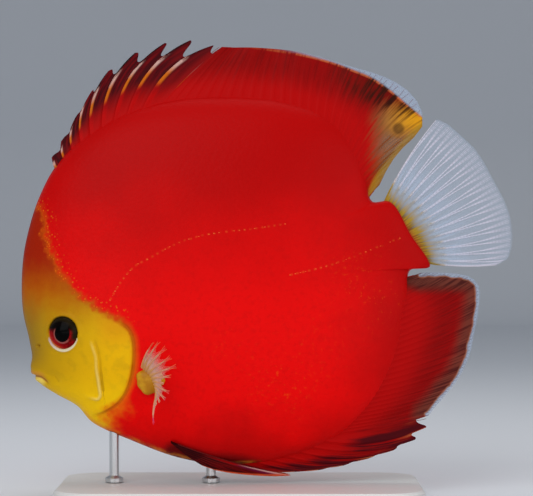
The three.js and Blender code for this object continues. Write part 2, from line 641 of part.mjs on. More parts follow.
place(fish, "head", head, "yellow_skin");
place(fish, "trunk", trunk, "red_skin");
place(fish, "tail_stalk", tailStalk, "red_skin");
const backNames = ["dorsal_fin_spines", "dorsal_fin_middle", "dorsal_fin_rear"];
partedFin(backRays, BACK_PARTINGS).forEach((piece, k) => place(fish, backNames[k], piece, "fin"));
const analNames = ["anal_fin_spines", "anal_fin_rear"];
partedFin(analRays, ANAL_PARTINGS).forEach((piece, k) => place(fish, analNames[k], piece, "fin"));
place(fish, "tail_fin", largest(medianFin(tailRays).subtract(fleshGrown)), "clear_fin");
for (const [name, side] of [["left", -1], ["right", 1]]) {
  place(fish, `eye_${name}`, eyes[name], "eye");
  place(fish, `gill_cover_${name}`, gillCovers[name], "yellow_skin");
  place(fish, `pectoral_fin_${name}`, pectoralFin(side, clearOfGills), "clear_fin");
  place(fish, `pelvic_fin_${name}`, pelvicFin(side, fleshGrown), "fin");
}
place(stand, "stand_base", baseSolid(), "stand");
for (const [name, x] of RODS) place(stand, name, rodSolid(x), "rod");

const model = new THREE.Group();
model.add(fish, stand);
export default model;
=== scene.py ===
"""A discus fish in the red form on its display stand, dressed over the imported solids."""
import math
from functools import reduce
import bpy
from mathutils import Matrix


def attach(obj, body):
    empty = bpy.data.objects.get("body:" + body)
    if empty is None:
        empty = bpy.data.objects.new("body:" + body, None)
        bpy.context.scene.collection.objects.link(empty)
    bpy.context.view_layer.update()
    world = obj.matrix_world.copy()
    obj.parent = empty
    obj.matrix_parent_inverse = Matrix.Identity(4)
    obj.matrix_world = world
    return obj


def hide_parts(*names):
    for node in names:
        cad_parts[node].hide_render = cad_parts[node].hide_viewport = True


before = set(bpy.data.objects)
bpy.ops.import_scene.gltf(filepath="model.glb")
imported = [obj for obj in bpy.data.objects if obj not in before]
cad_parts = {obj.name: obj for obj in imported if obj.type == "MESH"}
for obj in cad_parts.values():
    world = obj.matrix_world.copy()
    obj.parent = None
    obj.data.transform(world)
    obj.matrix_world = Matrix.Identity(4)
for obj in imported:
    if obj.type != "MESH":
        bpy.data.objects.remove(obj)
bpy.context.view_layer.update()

from types import SimpleNamespace

import bpy
import numpy as np

bl_info = {
    "name": "Discus fish",
    "version": (1, 0, 0),
    "blender": (4, 5, 0),
    "location": "3D View > Sidebar > Discus",
    "description": "Makes the skin, eyes, fins and stage of a life-size discus fish",
    "category": "Add Mesh",
}

MM = 0.001

# Body outline in the side view, as x and z in millimetres, from the upper lip over the back to the chin
BODY_OUTLINE = [
    (-64.6, 39.8), (-64.2, 43.2), (-65.1, 48.7), (-66.9, 56.6), (-67.4, 64.6), (-66.8, 74.5),
    (-65, 83.2), (-62.2, 91.8), (-57.4, 101.2), (-49.6, 109.9), (-38, 117.6), (-21.7, 122.6),
    (-3, 123.8), (14, 122.2), (27, 117.4), (35.5, 109.3), (39.2, 99.5), (40.6, 91.2),
    (46.6, 91), (52.9, 80.8), (58.8, 71), (52.4, 69.6), (52.6, 58), (49, 43),
    (41, 28.4), (29.5, 17.9), (15, 11.9), (-3, 9.8), (-18.6, 12), (-33.5, 17.4),
    (-45.6, 23), (-50.2, 28), (-56.6, 31.6), (-61.2, 34.6), (-63, 36.6),
]
BODY_CENTRE = np.array([-7.75, 68.4])

# Half thickness, and the swells on it: where, how much and how far each reaches
HALF_WIDTH = 12.2
EDGE_POWER = 2.4
EDGE_ROUND = 0.55
RIM_HALF = 0.5
TAIL_ROOT = (53, 81, 2, 9)
SWELLS = [(-50, 47, 3.6, 15), (-30, 38, 1.3, 22), (46, 80, -5.5, 22)]
EASE_ANGLE = 0.45
EASE_POWER = 10
SWEEP_START = 8
SWEEP_RATE = 0.00115

# Stretches of the outline, from one point's number to another's, and the skin's steps on each
SKIN_STEPS = [(30.5, 33, 36), (33, 36.6, 120), (36.6, 41.5, 104), (41.5, 65.5, 216)]
RING_CROWDING = 1.45
RIM_PROUD = 0.3

# Face: the cheek's gill cover, the ridge before it, the mouth's line, nostril and eye
GILL_REAR = [(-39, 54.8), (-34.2, 52.1), (-32.7, 48.8), (-32.4, 44.2), (-33.1, 38.1), (-35, 32.8),
             (-37.3, 29.6), (-40.4, 27.3), (-46.6, 24.6)]
CHEEK_RIDGE = [(-45.6, 49), (-44.3, 45.3), (-43.8, 43.6), (-43.6, 39.5), (-43.2, 36.8), (-42.9, 34.1),
               (-42.7, 31.4), (-43.6, 30.5), (-46.3, 31.1)]
CHEEK_GROOVE = [(-44.4, 49.5), (-43.6, 47.4), (-42.9, 44.8), (-42.4, 42.1), (-42.3, 39.5), (-42, 35.9),
                (-41.7, 33.2)]
MOUTH_LINE = [(-66, 37.3), (-63.5, 37.1), (-61.4, 36.8), (-60.1, 36), (-58.9, 34.8)]
MOUTH_FOLD = [(-56.7, 37.1), (-55.8, 35.7)]
NOSTRIL = (-62, 46.6)
EYE_AT = (-54.1, 50.8)
EYE_RADIUS = 5.2
EYE_HALF_DEPTH = 3.4
EYE_SUNK = 1.3
EYE_BULGE = 0.35
EYE_ROWS, EYE_COLUMNS = 40, 64
PUPIL = {"forward": 0.75, "half_width": 2.15, "half_height": 2.6}
FACE_EDGE = [(-72, 94), (-61.3, 86.9), (-60.5, 79.2), (-57.6, 72.5), (-53.4, 66.4), (-48.6, 60.9),
             (-43.4, 57.9), (-37.8, 54.9), (-34.2, 52.1), (-32.7, 48.8), (-32.4, 44.2), (-33.1, 38.1),
             (-35, 32.8), (-37.3, 29.6), (-40.4, 27.3), (-42, 24), (-43, 16)]
FACE_REGION = FACE_EDGE + [(-90, 10), (-90, 94)]
PELVIC_SHADOW = [(-20.5, 14.2), (-12, 11.4), (4, 9)]
BELLY_RIM = (26.5, 30.5)
LATERAL_LINES = [
    [(-39.4, 60.9), (-36.1, 66.4), (-31.8, 71.3), (-27.9, 73.4), (-18.7, 78.3), (-9, 81), (3.2, 82.5),
     (13.9, 84.1)],
    [(15.4, 68.5), (27.7, 71.5), (40.1, 76.1), (49.4, 79.8)],
]
LATERAL_SPACING = 1.5
LATERAL_SCALE = 0.3

# Where small orange flecks gather on the flank: x, z, how many and how far they reach
FLECK_SPOTS = [(37, 66, 0.6, 6), (12, 34, 0.65, 6), (44, 59, 0.5, 4), (-3, 46, 0.3, 5), (24, 46, 0.25, 8)]

# Long fins: base along the outline by point numbers, spines' tips, their share of the base, the depth of
# the notches behind them, bows of spines and soft rays, the margin, and the soft rays' number and spread
BACK_MARGIN = [(-5.6, 139), (6.2, 138.8), (15.5, 138), (24.8, 136), (33.8, 133.2), (44.6, 130),
               (50.5, 127), (54.9, 122.6), (57, 117), (56, 113.2), (51.8, 109.2), (46.8, 103.2), (43.3, 96.4)]
BACK_FIN = {
    "base": (8, 17), "share": 0.3, "flap": 0.27, "bow": 0.26, "soft_bow": 0.07, "count": 31, "spread": 1.5,
    "tips": [(-58.4, 104.8), (-55.4, 109.9), (-51.4, 116.6), (-46.3, 124.9), (-40.8, 131.6),
             (-32.6, 137.2), (-23.4, 140.3), (-15.5, 141.2), (-8.4, 139.6)],
    "margin": BACK_MARGIN,
}
LAST_BACK_FLAP = 0.12
ANAL_MARGIN = [(58.6, 24.6), (63.9, 30.9), (68, 36), (71.2, 42.6), (73, 50), (74.4, 58),
               (74.6, 64.6), (72, 67.6), (66.4, 68.8), (60.4, 69.1), (56.4, 69)]
ANAL_FIN = {
    "base": (27.3, 21.3), "share": 0.37, "flap": 0.12, "bow": -0.16, "soft_bow": -0.05, "count": 29,
    "spread": 1.05,
    "tips": [(10, 7.8), (17, 7.5), (24.4, 8), (32, 9.3), (40, 11.4), (47.6, 13.9), (54.4, 17.2), (57.9, 21)],
    "margin": ANAL_MARGIN,
}
ROOT_DEPTH = 2.6

# Tail fin
TAIL_ROOT_TOP = (43.4, 87.2)
TAIL_ROOT_LOW = (55.2, 72.9)
TAIL_MARGIN = [(61.3, 116.9), (64, 115.9), (68.8, 111.8), (73.3, 107.6), (76.6, 102.6), (79.7, 97),
               (82, 92.7), (83.9, 88), (85, 82.5), (85, 77.6), (83.9, 73.6), (80.4, 71.5)]
TAIL_RAYS = 16
TAIL_BOW = 0.08

# Breast fins: the rays' tips back, out and up from the root, and their lengths, frayed low down
PECTORAL_TIPS = [(1.6, 15.6, 12.2), (4.3, 18.4, 12.8), (6.6, 19.7, 9.6), (8.8, 19.2, 6), (8.4, 17.4, 1.8),
                 (7.2, 14.2, -3.4), (5, 11.4, -8), (1.4, 8.4, -12.8)]
PECTORAL_LENGTHS = [1, 0.98, 1, 0.97, 1, 0.86, 0.62, 0.9, 0.84, 0.66, 0.56, 1]
PECTORAL_ROOT = (-27.3, 36.3)
PECTORAL_ROOT_HEIGHT = 6.2
PECTORAL_ROOT_LEAN = 0.83
PECTORAL_PAD = (4.3, 2.1, 4)
PAD_ROWS, PAD_COLUMNS = 24, 36

# Belly fins: tips and root, and half the distance between the two, which grows upwards from a low level
PELVIC_TIPS = [(15.6, 6.4), (10, 6.2), (4, 6.5), (-2, 7.1), (-7, 8), (-11.6, 9.6)]
PELVIC_ROOT = ((-21.2, 17.2), (-15.8, 12.6))
PELVIC_RAYS = 7
PELVIC_BOW = -0.05
PELVIC_APART = 2
PELVIC_APART_AT = 7
PELVIC_APART_RISE = 0.42

# Where the back fin's flesh-red part ends towards its clear edge, its rear edge, and a round mark near it
BACK_OPAQUE = [(-12, 140.4), (8, 138.4), (18, 136.8), (27.9, 134.4), (34.7, 131.9), (41.2, 129.2),
               (46.7, 125.5), (51.4, 121.5), (55.8, 117.8)]
BACK_REGION = BACK_OPAQUE + [(62, 115), (62, 60), (-40, 60), (-60, 142)]
BACK_REAR = [(56.7, 114.7), (51.5, 109.7), (46.7, 103.6), (42, 96.9), (39.5, 89.5)]
BACK_MARK = (49.2, 2.0, 113.8)

# Colours of the markings and of the painted shade, shadows, highlights and light, as linear red, green and
# blue
SKIN = SimpleNamespace(
    mottle=(0.5, 0.001, 0.001), fleck=(0.95, 0.14, 0.005), cheek_front=(0.54, 0.3, 0.003),
    cheek=(0.9, 0.5, 0.002), snout=(0.3, 0.165, 0.014), gill_top=(0.72, 0.27, 0.003),
    smudge=(0.42, 0.24, 0.006), jaw=(1.0, 0.62, 0.002), lower_lip=(0.95, 0.72, 0.14),
    upper_lip=(0.62, 0.26, 0.03), brow=(0.48, 0.11, 0.001), nape=(0.36, 0.014, 0.001),
    border_low=(0.9, 0.17, 0.002), border_high=(0.55, 0.07, 0.001), dot=(0.8, 0.16, 0.003),
    # ridge is a painted highlight; groove, gill_fold, mouth, belly, fold and eye_shade are painted shade; rim
    # is painted light from below
    ridge=(0.97, 0.74, 0.2), groove=(0.25, 0.09, 0.002), gill_fold=(0.4, 0.05, 0.001),
    mouth=(0.3, 0.06, 0.02), belly=(0.06, 0.001, 0.002), lateral=(0.95, 0.22, 0.03),
    rim=(0.9, 0.3, 0.01), fold=(0.2, 0.04, 0.002), eye_shade=(0.1, 0.06, 0.006),
    eye_ring=(0.78, 0.7, 0.46), eye_ring_front=(0.62, 0.5, 0.5),
)
# In IRIS, top and shade are painted shade
IRIS = SimpleNamespace(
    dark=(0.1, 0.0005, 0.0005), crimson=(0.3, 0.001, 0.003), low=(0.45, 0.001, 0.001),
    top=(0.002, 0.0006, 0.0005), ring=(0.3, 0.085, 0.07), pupil=(0.0005, 0.0005, 0.0005),
    rim=(0.75, 0.14, 0.01), shade=(0.016, 0.01, 0.003),
)
BACK = SimpleNamespace(
    streak=(0.16, 0.001, 0.001), band=(0.26, 0.001, 0.001), flap_dark=(0.045, 0.001, 0.003),
    flap=(0.16, 0.002, 0.004), stripe_root=(0.5, 0.004, 0.002), stripe=(0.66, 0.15, 0.005),
    stripe_tip=(0.66, 0.4, 0.34), rear=(0.028, 0.006, 0.002), hind_low=(0.26, 0.13, 0.012),
    hind=(0.36, 0.15, 0.045), gold=(0.82, 0.36, 0.01), hind_streak=(0.12, 0.03, 0.006),
    hind_edge=(0.5, 0.28, 0.02), mark=(0.035, 0.012, 0.006), line=(0.62, 0.16, 0.05),
)
# In ANAL, corner is painted shadow where the fin meets the tail stalk
ANAL = SimpleNamespace(
    streak=(0.13, 0.001, 0.001), flap=(0.05, 0.001, 0.004), tip=(0.7, 0.3, 0.1), corner=(0.03, 0.008, 0.005),
    band=(0.17, 0.04, 0.025), band_dark=(0.07, 0.012, 0.01), line=(0.5, 0.2, 0.1),
)
# Painted bluish tint of the fins' clear edges, for light seen through them
CLEAR_EDGE = (0.46, 0.56, 0.74)
# clear is the tail's clear membrane with a painted bluish tint for light seen through it
TAIL = SimpleNamespace(
    clear=(0.55, 0.66, 0.84), root=(0.42, 0.26, 0.02), root_dark=(0.14, 0.08, 0.01), stalk=(0.5, 0.02, 0.002),
)
PECTORAL = SimpleNamespace(pink=(0.86, 0.5, 0.42), root=(0.75, 0.4, 0.12))
PELVIC = SimpleNamespace(
    dark=(0.04, 0.001, 0.002), maroon=(0.2, 0.001, 0.002), red=(0.42, 0.002, 0.002),
    blob=(0.015, 0.001, 0.002), margin=(0.6, 0.05, 0.006), violet=(0.09, 0.004, 0.04),
    pale=(0.8, 0.42, 0.4), tip=(0.75, 0.1, 0.03),
)

# Colours of the rays from root to tip, and between which shares of the length one goes over to the other
RAY_TONES = {
    "dorsal_spine": {"root": (0.42, 0.002, 0.002), "tip": (0.6, 0.34, 0.28), "fade": (0.3, 0.6),
                     "middle": (0.5, 0.08, 0.004)},
    "dorsal_ray": {"root": (0.42, 0.001, 0.001), "tip": (0.22, 0.012, 0.004), "fade": (0.45, 0.95)},
    "anal_spine": {"root": (0.42, 0.001, 0.001), "tip": (0.6, 0.2, 0.1), "fade": (0.75, 0.98)},
    "anal_ray": {"root": (0.42, 0.001, 0.001), "tip": (0.16, 0.03, 0.02), "fade": (0.45, 0.9)},
    "tail_ray": {"root": (0.42, 0.28, 0.03), "tip": (0.76, 0.72, 0.8), "fade": (0.24, 0.38)},
    "pectoral_ray": {"root": (0.78, 0.42, 0.16), "tip": (0.95, 0.12, 0.04), "fade": (0.4, 0.85),
                     "middle": (0.8, 0.36, 0.22), "below": (0.78, 0.05, 0.16)},
    "pelvic_ray": {"root": (0.14, 0.002, 0.002), "tip": (0.7, 0.35, 0.3), "fade": (0.75, 1.0)},
}
RAY_JOINT = (0.1, 0.02, 0.02)
SPINE_RADIUS = {"dorsal": 0.5, "anal": 0.42}
PECTORAL_RAY_RADIUS = 0.48
PELVIC_RAY_RADIUS = 0.34
TAIL_RAY_EXTRA = 0.18
RAY_SIDES = 8

# Stage in millimetres, and its lights: place, aim and size in metres, and share of the key light's power
STAGE = SimpleNamespace(half_width=2500, front=-3000, wall=1700, cove=200, top=2600)
LIGHTS = [
    ("key", (-0.35, -0.75, 0.6), (0, 0, 0.07), (0.7, 0.7), 1.0),
    ("fill", (0.7, -0.6, 0.25), (0.01, 0, 0.07), (0.6, 0.6), 0.4),
    ("top", (0.05, 0.1, 0.8), (0, 0, 0.08), (0.6, 0.5), 0.5),
    ("low", (0.0, -0.6, 0.02), (0, 0, 0.06), (0.8, 0.15), 0.15),
]
CAMERA_X = 0.0082
CAMERA_Z = 0.07675
LENS_AT_DISTANCE = (152.5, 0.7)


class Curve:
    """A smooth curve through points, centripetal, evaluated over arrays."""

    def __init__(self, points, closed=False):
        points = np.array(points, float)
        if closed:
            self.points = np.vstack([points[-1:], points, points[:2]])
            self.spans = len(points)
        else:
            self.points = np.vstack([2 * points[0] - points[1], points, 2 * points[-1] - points[-2]])
            self.spans = len(points) - 1
        fine = self.at(np.linspace(0, 1, 1201))
        steps = np.linalg.norm(np.diff(fine, axis=0), axis=1)
        self.travelled = np.concatenate([[0], np.cumsum(steps)])

    def at(self, t):
        """Points at shares t of the spans."""
        s = np.clip(np.asarray(t, float), 0, 1) * self.spans
        i = np.minimum(s.astype(int), self.spans - 1)
        w = (s - i)[..., None]
        p0, p1, p2, p3 = (self.points[i + k] for k in range(4))
        steps = (p1 - p0, p2 - p1, p3 - p2)
        d0, d1, d2 = (np.sqrt(np.linalg.norm(step, axis=-1, keepdims=True)) for step in steps)
        m1 = ((p1 - p0) / d0 - (p2 - p0) / (d0 + d1) + (p2 - p1) / d1) * d1
        m2 = ((p2 - p1) / d1 - (p3 - p1) / (d1 + d2) + (p3 - p2) / d2) * d1
        return p1 + m1 * w + (3 * (p2 - p1) - 2 * m1 - m2) * w**2 + (2 * (p1 - p2) + m1 + m2) * w**3

    def even(self, u):
        """Points at shares u of the curve's length."""
        wanted = np.asarray(u, float) * self.travelled[-1]
        return self.at(np.interp(wanted, self.travelled, np.linspace(0, 1, len(self.travelled))))


RIM = Curve(BODY_OUTLINE, closed=True)
_fine = RIM.at(np.linspace(0, 1, 3600, endpoint=False)) - BODY_CENTRE
_angles = np.arctan2(_fine[:, 1], _fine[:, 0])
_reaches = np.hypot(_fine[:, 0], _fine[:, 1])


def smoothstep(low, high, value):
    """0 below low, 1 above high and smooth between."""
    s = np.clip((value - low) / (high - low), 0, 1)
    return s * s * (3 - 2 * s)


def mound(off, width):
    """1 at the middle, falling smoothly to almost nothing at two widths from it."""
    return np.exp(-((off / width) ** 2))


def reach_at(angle):
    """How far the outline is from the body's centre in a direction."""
    return np.interp(angle, _angles, _reaches, period=2 * math.pi)


def easy_reach_at(angle):
    """The same, averaged over nearby directions."""
    offsets = np.arange(-12, 13)
    weights = 13 - np.abs(offsets)
    angle = np.asarray(angle, float)
    reaches = reach_at(angle[..., None] + offsets * EASE_ANGLE / 12)
    return (reaches * weights).sum(-1) / weights.sum()


def ring_reach(share, easy, reach):
    """The reach of the ring that lies at a share of the way out to the rim."""
    return share * (easy + (reach - easy) * share**EASE_POWER)


def bell(x, z, spot):
    """A round swelling about a spot."""
    return spot[2] * np.exp(-((x - spot[0]) ** 2 + (z - spot[1]) ** 2) / (2 * spot[3] ** 2))


def half_width(x, z, share):
    """Half thickness of the body."""
    rim = RIM_HALF + bell(x, z, TAIL_ROOT)
    edge = np.clip(1 - share**EDGE_POWER, 0, 1) ** EDGE_ROUND
    return rim + edge * (HALF_WIDTH + sum(bell(x, z, s) for s in SWELLS))


def flank(x, z):
    """Half thickness at points of the side view."""
    x, z = np.asarray(x, float), np.asarray(z, float)
    dx, dz = x - BODY_CENTRE[0], z - BODY_CENTRE[1]
    angle = np.arctan2(dz, dx)
    reach, easy, distance = reach_at(angle), easy_reach_at(angle), np.hypot(dx, dz)
    low, high = np.zeros_like(distance), np.ones_like(distance)
    for _ in range(20):
        middle = (low + high) / 2
        under = ring_reach(middle, easy, reach) < distance
        low, high = np.where(under, middle, low), np.where(under, high, middle)
    return half_width(x, z, high)


def sweep(x):
    """How far the slow turn carries a point to the right."""
    return SWEEP_RATE * np.maximum(0, x - SWEEP_START) ** 2


def flank_point(x, z, side):
    """The point of the flank, and the way out of it."""
    step = 0.4
    slope_x = float(flank(x + step, z) - flank(x - step, z)) / (2 * step)
    slope_z = float(flank(x, z + step) - flank(x, z - step)) / (2 * step)
    out = np.array([-slope_x, side, -slope_z])
    return np.array([x, side * float(flank(x, z)) + float(sweep(x)), z]), out / np.linalg.norm(out)


def from_line(line, x, z, signed=False):
    """Distance from a line of points in the side view, and how far along it the nearest point is."""
    line = np.array(line, float)
    best = np.full(x.shape, 1e9)
    along = np.zeros(x.shape)
    sign = np.ones(x.shape)
    travelled = 0.0
    for a, b in zip(line[:-1], line[1:]):
        way = b - a
        length = np.linalg.norm(way)
        t = np.clip(((x - a[0]) * way[0] + (z - a[1]) * way[1]) / length**2, 0, 1)
        distance = np.hypot(x - a[0] - t * way[0], z - a[1] - t * way[1])
        nearer = distance < best
        best = np.where(nearer, distance, best)
        along = np.where(nearer, travelled + t * length, along)
        sign = np.where(nearer, np.sign(way[0] * (z - a[1]) - way[1] * (x - a[0])), sign)
        travelled += length
    return (best * sign if signed else best), along


def inside(region, x, z):
    """Whether points of the side view lie in a closed region."""
    region = np.array(region, float)
    crossings = np.zeros(x.shape, int)
    for a, b in zip(region, np.roll(region, -1, axis=0)):
        spans = (a[1] > z) != (b[1] > z)
        rise = b[1] - a[1] or 1e-9
        crossings += spans & (x < a[0] + (z - a[1]) * (b[0] - a[0]) / rise)
    return crossings % 2 == 1


def round_line(points, steps=60):
    """A smooth line through points as a list of close points."""
    return Curve(points).even(np.linspace(0, 1, steps))


def make_mesh(name, vertices, faces, attributes=None, edges=()):
    """A smooth-shaded object from millimetre points, with its float attributes."""
    mesh = bpy.data.meshes.new(name)
    mesh.from_pydata((np.asarray(vertices) * MM).tolist(), edges, faces)
    for key, values in (attributes or {}).items():
        layer = mesh.attributes.new(key, "FLOAT", "POINT")
        layer.data.foreach_set("value", np.asarray(values, np.float32).ravel())
    mesh.polygons.foreach_set("use_smooth", [True] * len(mesh.polygons))
    mesh.update()
    piece = bpy.data.objects.new(name, mesh)
    bpy.context.scene.collection.objects.link(piece)
    return piece


def add_node(tree, kind, ins=None, **settings):
    """A node of a tree with its settings, and its inputs linked or set."""
    node = tree.nodes.new(kind)
    for key, value in settings.items():
        setattr(node, key, value)
    for key, value in (ins or {}).items():
        if isinstance(value, bpy.types.NodeSocket):
            tree.links.new(value, node.inputs[key])
        else:
            node.inputs[key].default_value = value
    return node


def dress(piece, material, slot, *nodes):
    """Gives a finished piece its material and body, and hides the solids it stands for; its slot is not used.
    """
    if not piece.data.materials:
        piece.data.materials.append(material)
    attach(piece, "root")
    if nodes:
        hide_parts(*nodes)
    return piece


class Shade:
    """A material's node tree with short calls for its nodes."""

    def __init__(self, name):
        self.material = bpy.data.materials.new(name)
        self.material.use_nodes = True
        self.tree = self.material.node_tree
        self.shader = self.tree.nodes["Principled BSDF"]
        place = self.node("ShaderNodeTexCoord").outputs["Object"]
        scaled = self.node("ShaderNodeVectorMath", operation="SCALE", ins={0: place, "Scale": 1 / MM})
        self.mm = scaled.outputs[0]
        self.x, self.y, self.z = self.node("ShaderNodeSeparateXYZ", ins={0: self.mm}).outputs

    def node(self, kind, ins=None, **settings):
        """A node with its settings, and its inputs linked or set."""
        return add_node(self.tree, kind, ins, **settings)

    def attribute(self, name):
        """A float attribute of the mesh."""
        return self.node("ShaderNodeAttribute", attribute_name=name).outputs["Fac"]

    def math(self, operation, a, b=0.0, clamp=False):
        """One sum on numbers or sockets."""
        return self.node("ShaderNodeMath", operation=operation, use_clamp=clamp, ins={0: a, 1: b}).outputs[0]

    def times(self, *values):
        """The product of all values."""
        return reduce(lambda a, b: self.math("MULTIPLY", a, b), values)

    def plus(self, a, b, clamp=False):
        """The sum of two values."""
        return self.math("ADD", a, b, clamp)

    def minus(self, a, b, clamp=False):
        """The first value less the second."""
        return self.math("SUBTRACT", a, b, clamp)

    def rest(self, a):
        """What is left of 1."""
        return self.minus(1.0, a)

    def absolute(self, a):
        """The value without its sign."""
        return self.math("ABSOLUTE", a)

    def step(self, value, low, high):
        """A smooth step from 0 to 1 as value goes from low to high; falls where low is above high."""
        node = self.node("ShaderNodeMapRange", interpolation_type="SMOOTHSTEP",
                         ins={"Value": value, "From Min": min(low, high), "From Max": max(low, high)})
        return node.outputs[0] if low < high else self.rest(node.outputs[0])

    def mix(self, share, a, b):
        """A colour between a and b, each a socket or red, green and blue."""
        colours = [c if isinstance(c, bpy.types.NodeSocket) else (*c, 1) for c in (a, b)]
        node = self.node("ShaderNodeMix", data_type="RGBA", blend_type="MIX", clamp_factor=True,
                         ins={0: share, 6: colours[0], 7: colours[1]})
        return node.outputs[2]

    def paint(self, under, over, *shares):
        """One colour laid over another, as strong as the product of the shares."""
        return self.mix(self.times(*shares), under, over)

    def noise(self, scale, detail=3.0, rough=0.5, where=None):
        """Cloudy noise, with its scale in turns per millimetre."""
        ins = {"Vector": where or self.mm, "Scale": scale, "Detail": detail, "Roughness": rough}
        return self.node("ShaderNodeTexNoise", ins=ins).outputs[0]

    def waver(self, noise, reach):
        """A noise about zero, half the reach to each side."""
        return self.times(self.minus(noise, 0.5), reach)

    def cells(self, scale, where=None):
        """Distance to the middle of the nearest cell, with the scale in cells per millimetre."""
        ins = {"Vector": where or self.mm, "Scale": scale}
        return self.node("ShaderNodeTexVoronoi", ins=ins).outputs["Distance"]

    def turned(self, degrees, stretch):
        """Positions turned about the Y axis, so that X runs along the body, and stretched."""
        ins = {"Vector": self.mm, "Rotation": (0, math.radians(degrees), 0), "Scale": stretch}
        return self.node("ShaderNodeMapping", ins=ins).outputs[0]

    def by_rays(self, across, along):
        """Positions counted in rays and shares of their length, for streaks that follow the rays."""
        ins = {0: self.times(self.attribute("ray"), across), 1: self.times(self.attribute("along"), along)}
        return self.node("ShaderNodeCombineXYZ", ins=ins).outputs[0]

    def bump(self, height, strength, distance, after=None):
        """A bump from a height, on top of another if given."""
        ins = {"Height": height, "Strength": strength, "Distance": distance}
        if after:
            ins["Normal"] = after
        return self.node("ShaderNodeBump", ins=ins).outputs[0]

    def ray_bump(self, width=0.3, strength=0.25, distance=0.0002):
        """A bump with its ridges on the rays, from the mesh's ray numbers."""
        between = self.math("FRACT", self.plus(self.attribute("ray"), 0.5))
        off = self.absolute(self.minus(between, 0.5))
        return self.bump(self.step(off, width, width * 0.35), strength, distance)

    def set(self, **values):
        """The shader's own sockets, with spaces for underlines in their names."""
        for key, value in values.items():
            socket = self.shader.inputs[key.replace("_", " ")]
            if isinstance(value, bpy.types.NodeSocket):
                self.tree.links.new(value, socket)
            else:
                socket.default_value = value
        return self.material


def skin_red(s, colours, drift, speck):
    """Deep red at the back and the fins' roots, bright at the lower middle of the flank, with flecks; the
    change from deep to bright is partly the fish's colour and partly painted shade on the back and painted
    light low in the middle.
    """
    height = s.plus(s.z, drift)
    # Partly painted light and shade: brighter low in the middle of the flank, deeper red up the back
    bright_and_painted_light = s.times(s.step(height, 108, 52), s.step(height, 8, 30), s.step(s.plus(s.x, drift), 62, 18))
    red = s.mix(bright_and_painted_light, colours.red_deep, colours.red_bright)
    red = s.paint(red, SKIN.mottle, s.step(s.noise(0.6, 4, 0.65), 0.45, 0.7), 0.2)
    return s.paint(red, SKIN.fleck, s.attribute("flecks"), s.step(speck, 0.58, 0.72), 0.5)


def skin_face(s, mouth):
    """Olive snout, bright yellow cheek and gill cover, lips, and a brow that goes over orange into red."""
    across = s.minus(s.x, s.times(s.z, 0.5))
    face = s.mix(s.step(across, -84, -58), SKIN.cheek_front, SKIN.cheek)
    face = s.paint(face, SKIN.snout, s.step(s.x, -57, -65), s.step(s.z, 38, 44), 0.85)
    face = s.paint(face, SKIN.gill_top, s.step(s.z, 44, 53), s.step(s.x, -46, -38), 0.6)
    face = s.paint(face, SKIN.smudge, s.step(s.noise(0.35, 3), 0.45, 0.7), 0.22)
    face = s.paint(face, SKIN.jaw, s.step(s.z, 40, 29), 0.7)
    lip_tone = s.mix(s.step(s.attribute("mouth"), -0.3, 0.3), SKIN.lower_lip, SKIN.upper_lip)
    lip = s.times(s.step(mouth, 2.2, 1.2), s.attribute("mouth_fade"), s.step(s.x, -59, -61.5))
    face = s.paint(face, lip_tone, lip, 0.8)
    brow = s.plus(s.z, s.waver(s.noise(0.2, 3), 8))
    face = s.mix(s.step(brow, 50, 67), face, SKIN.brow)
    return s.mix(s.step(brow, 60, 76), face, SKIN.nape)


def face_border(s):
    """How far in from the face's border a point is: scalloped on the brow, plain by the gill, soft below."""
    scallop = s.times(s.minus(s.cells(0.5), 0.45), 2.0)
    wander = s.waver(s.noise(0.16, 3), 3.6)
    by_gill = s.times(s.step(s.z, 26, 31), s.step(s.z, 57, 52))
    border = s.plus(s.attribute("face"), s.times(s.plus(scallop, wander), s.rest(s.times(by_gill, 0.85))))
    throat = s.step(s.z, 32, 25)
    cloudy = s.waver(s.noise(0.2, 4), s.times(throat, 6))
    return s.math("DIVIDE", s.plus(border, cloudy), s.plus(1.0, s.times(throat, 1.6)))


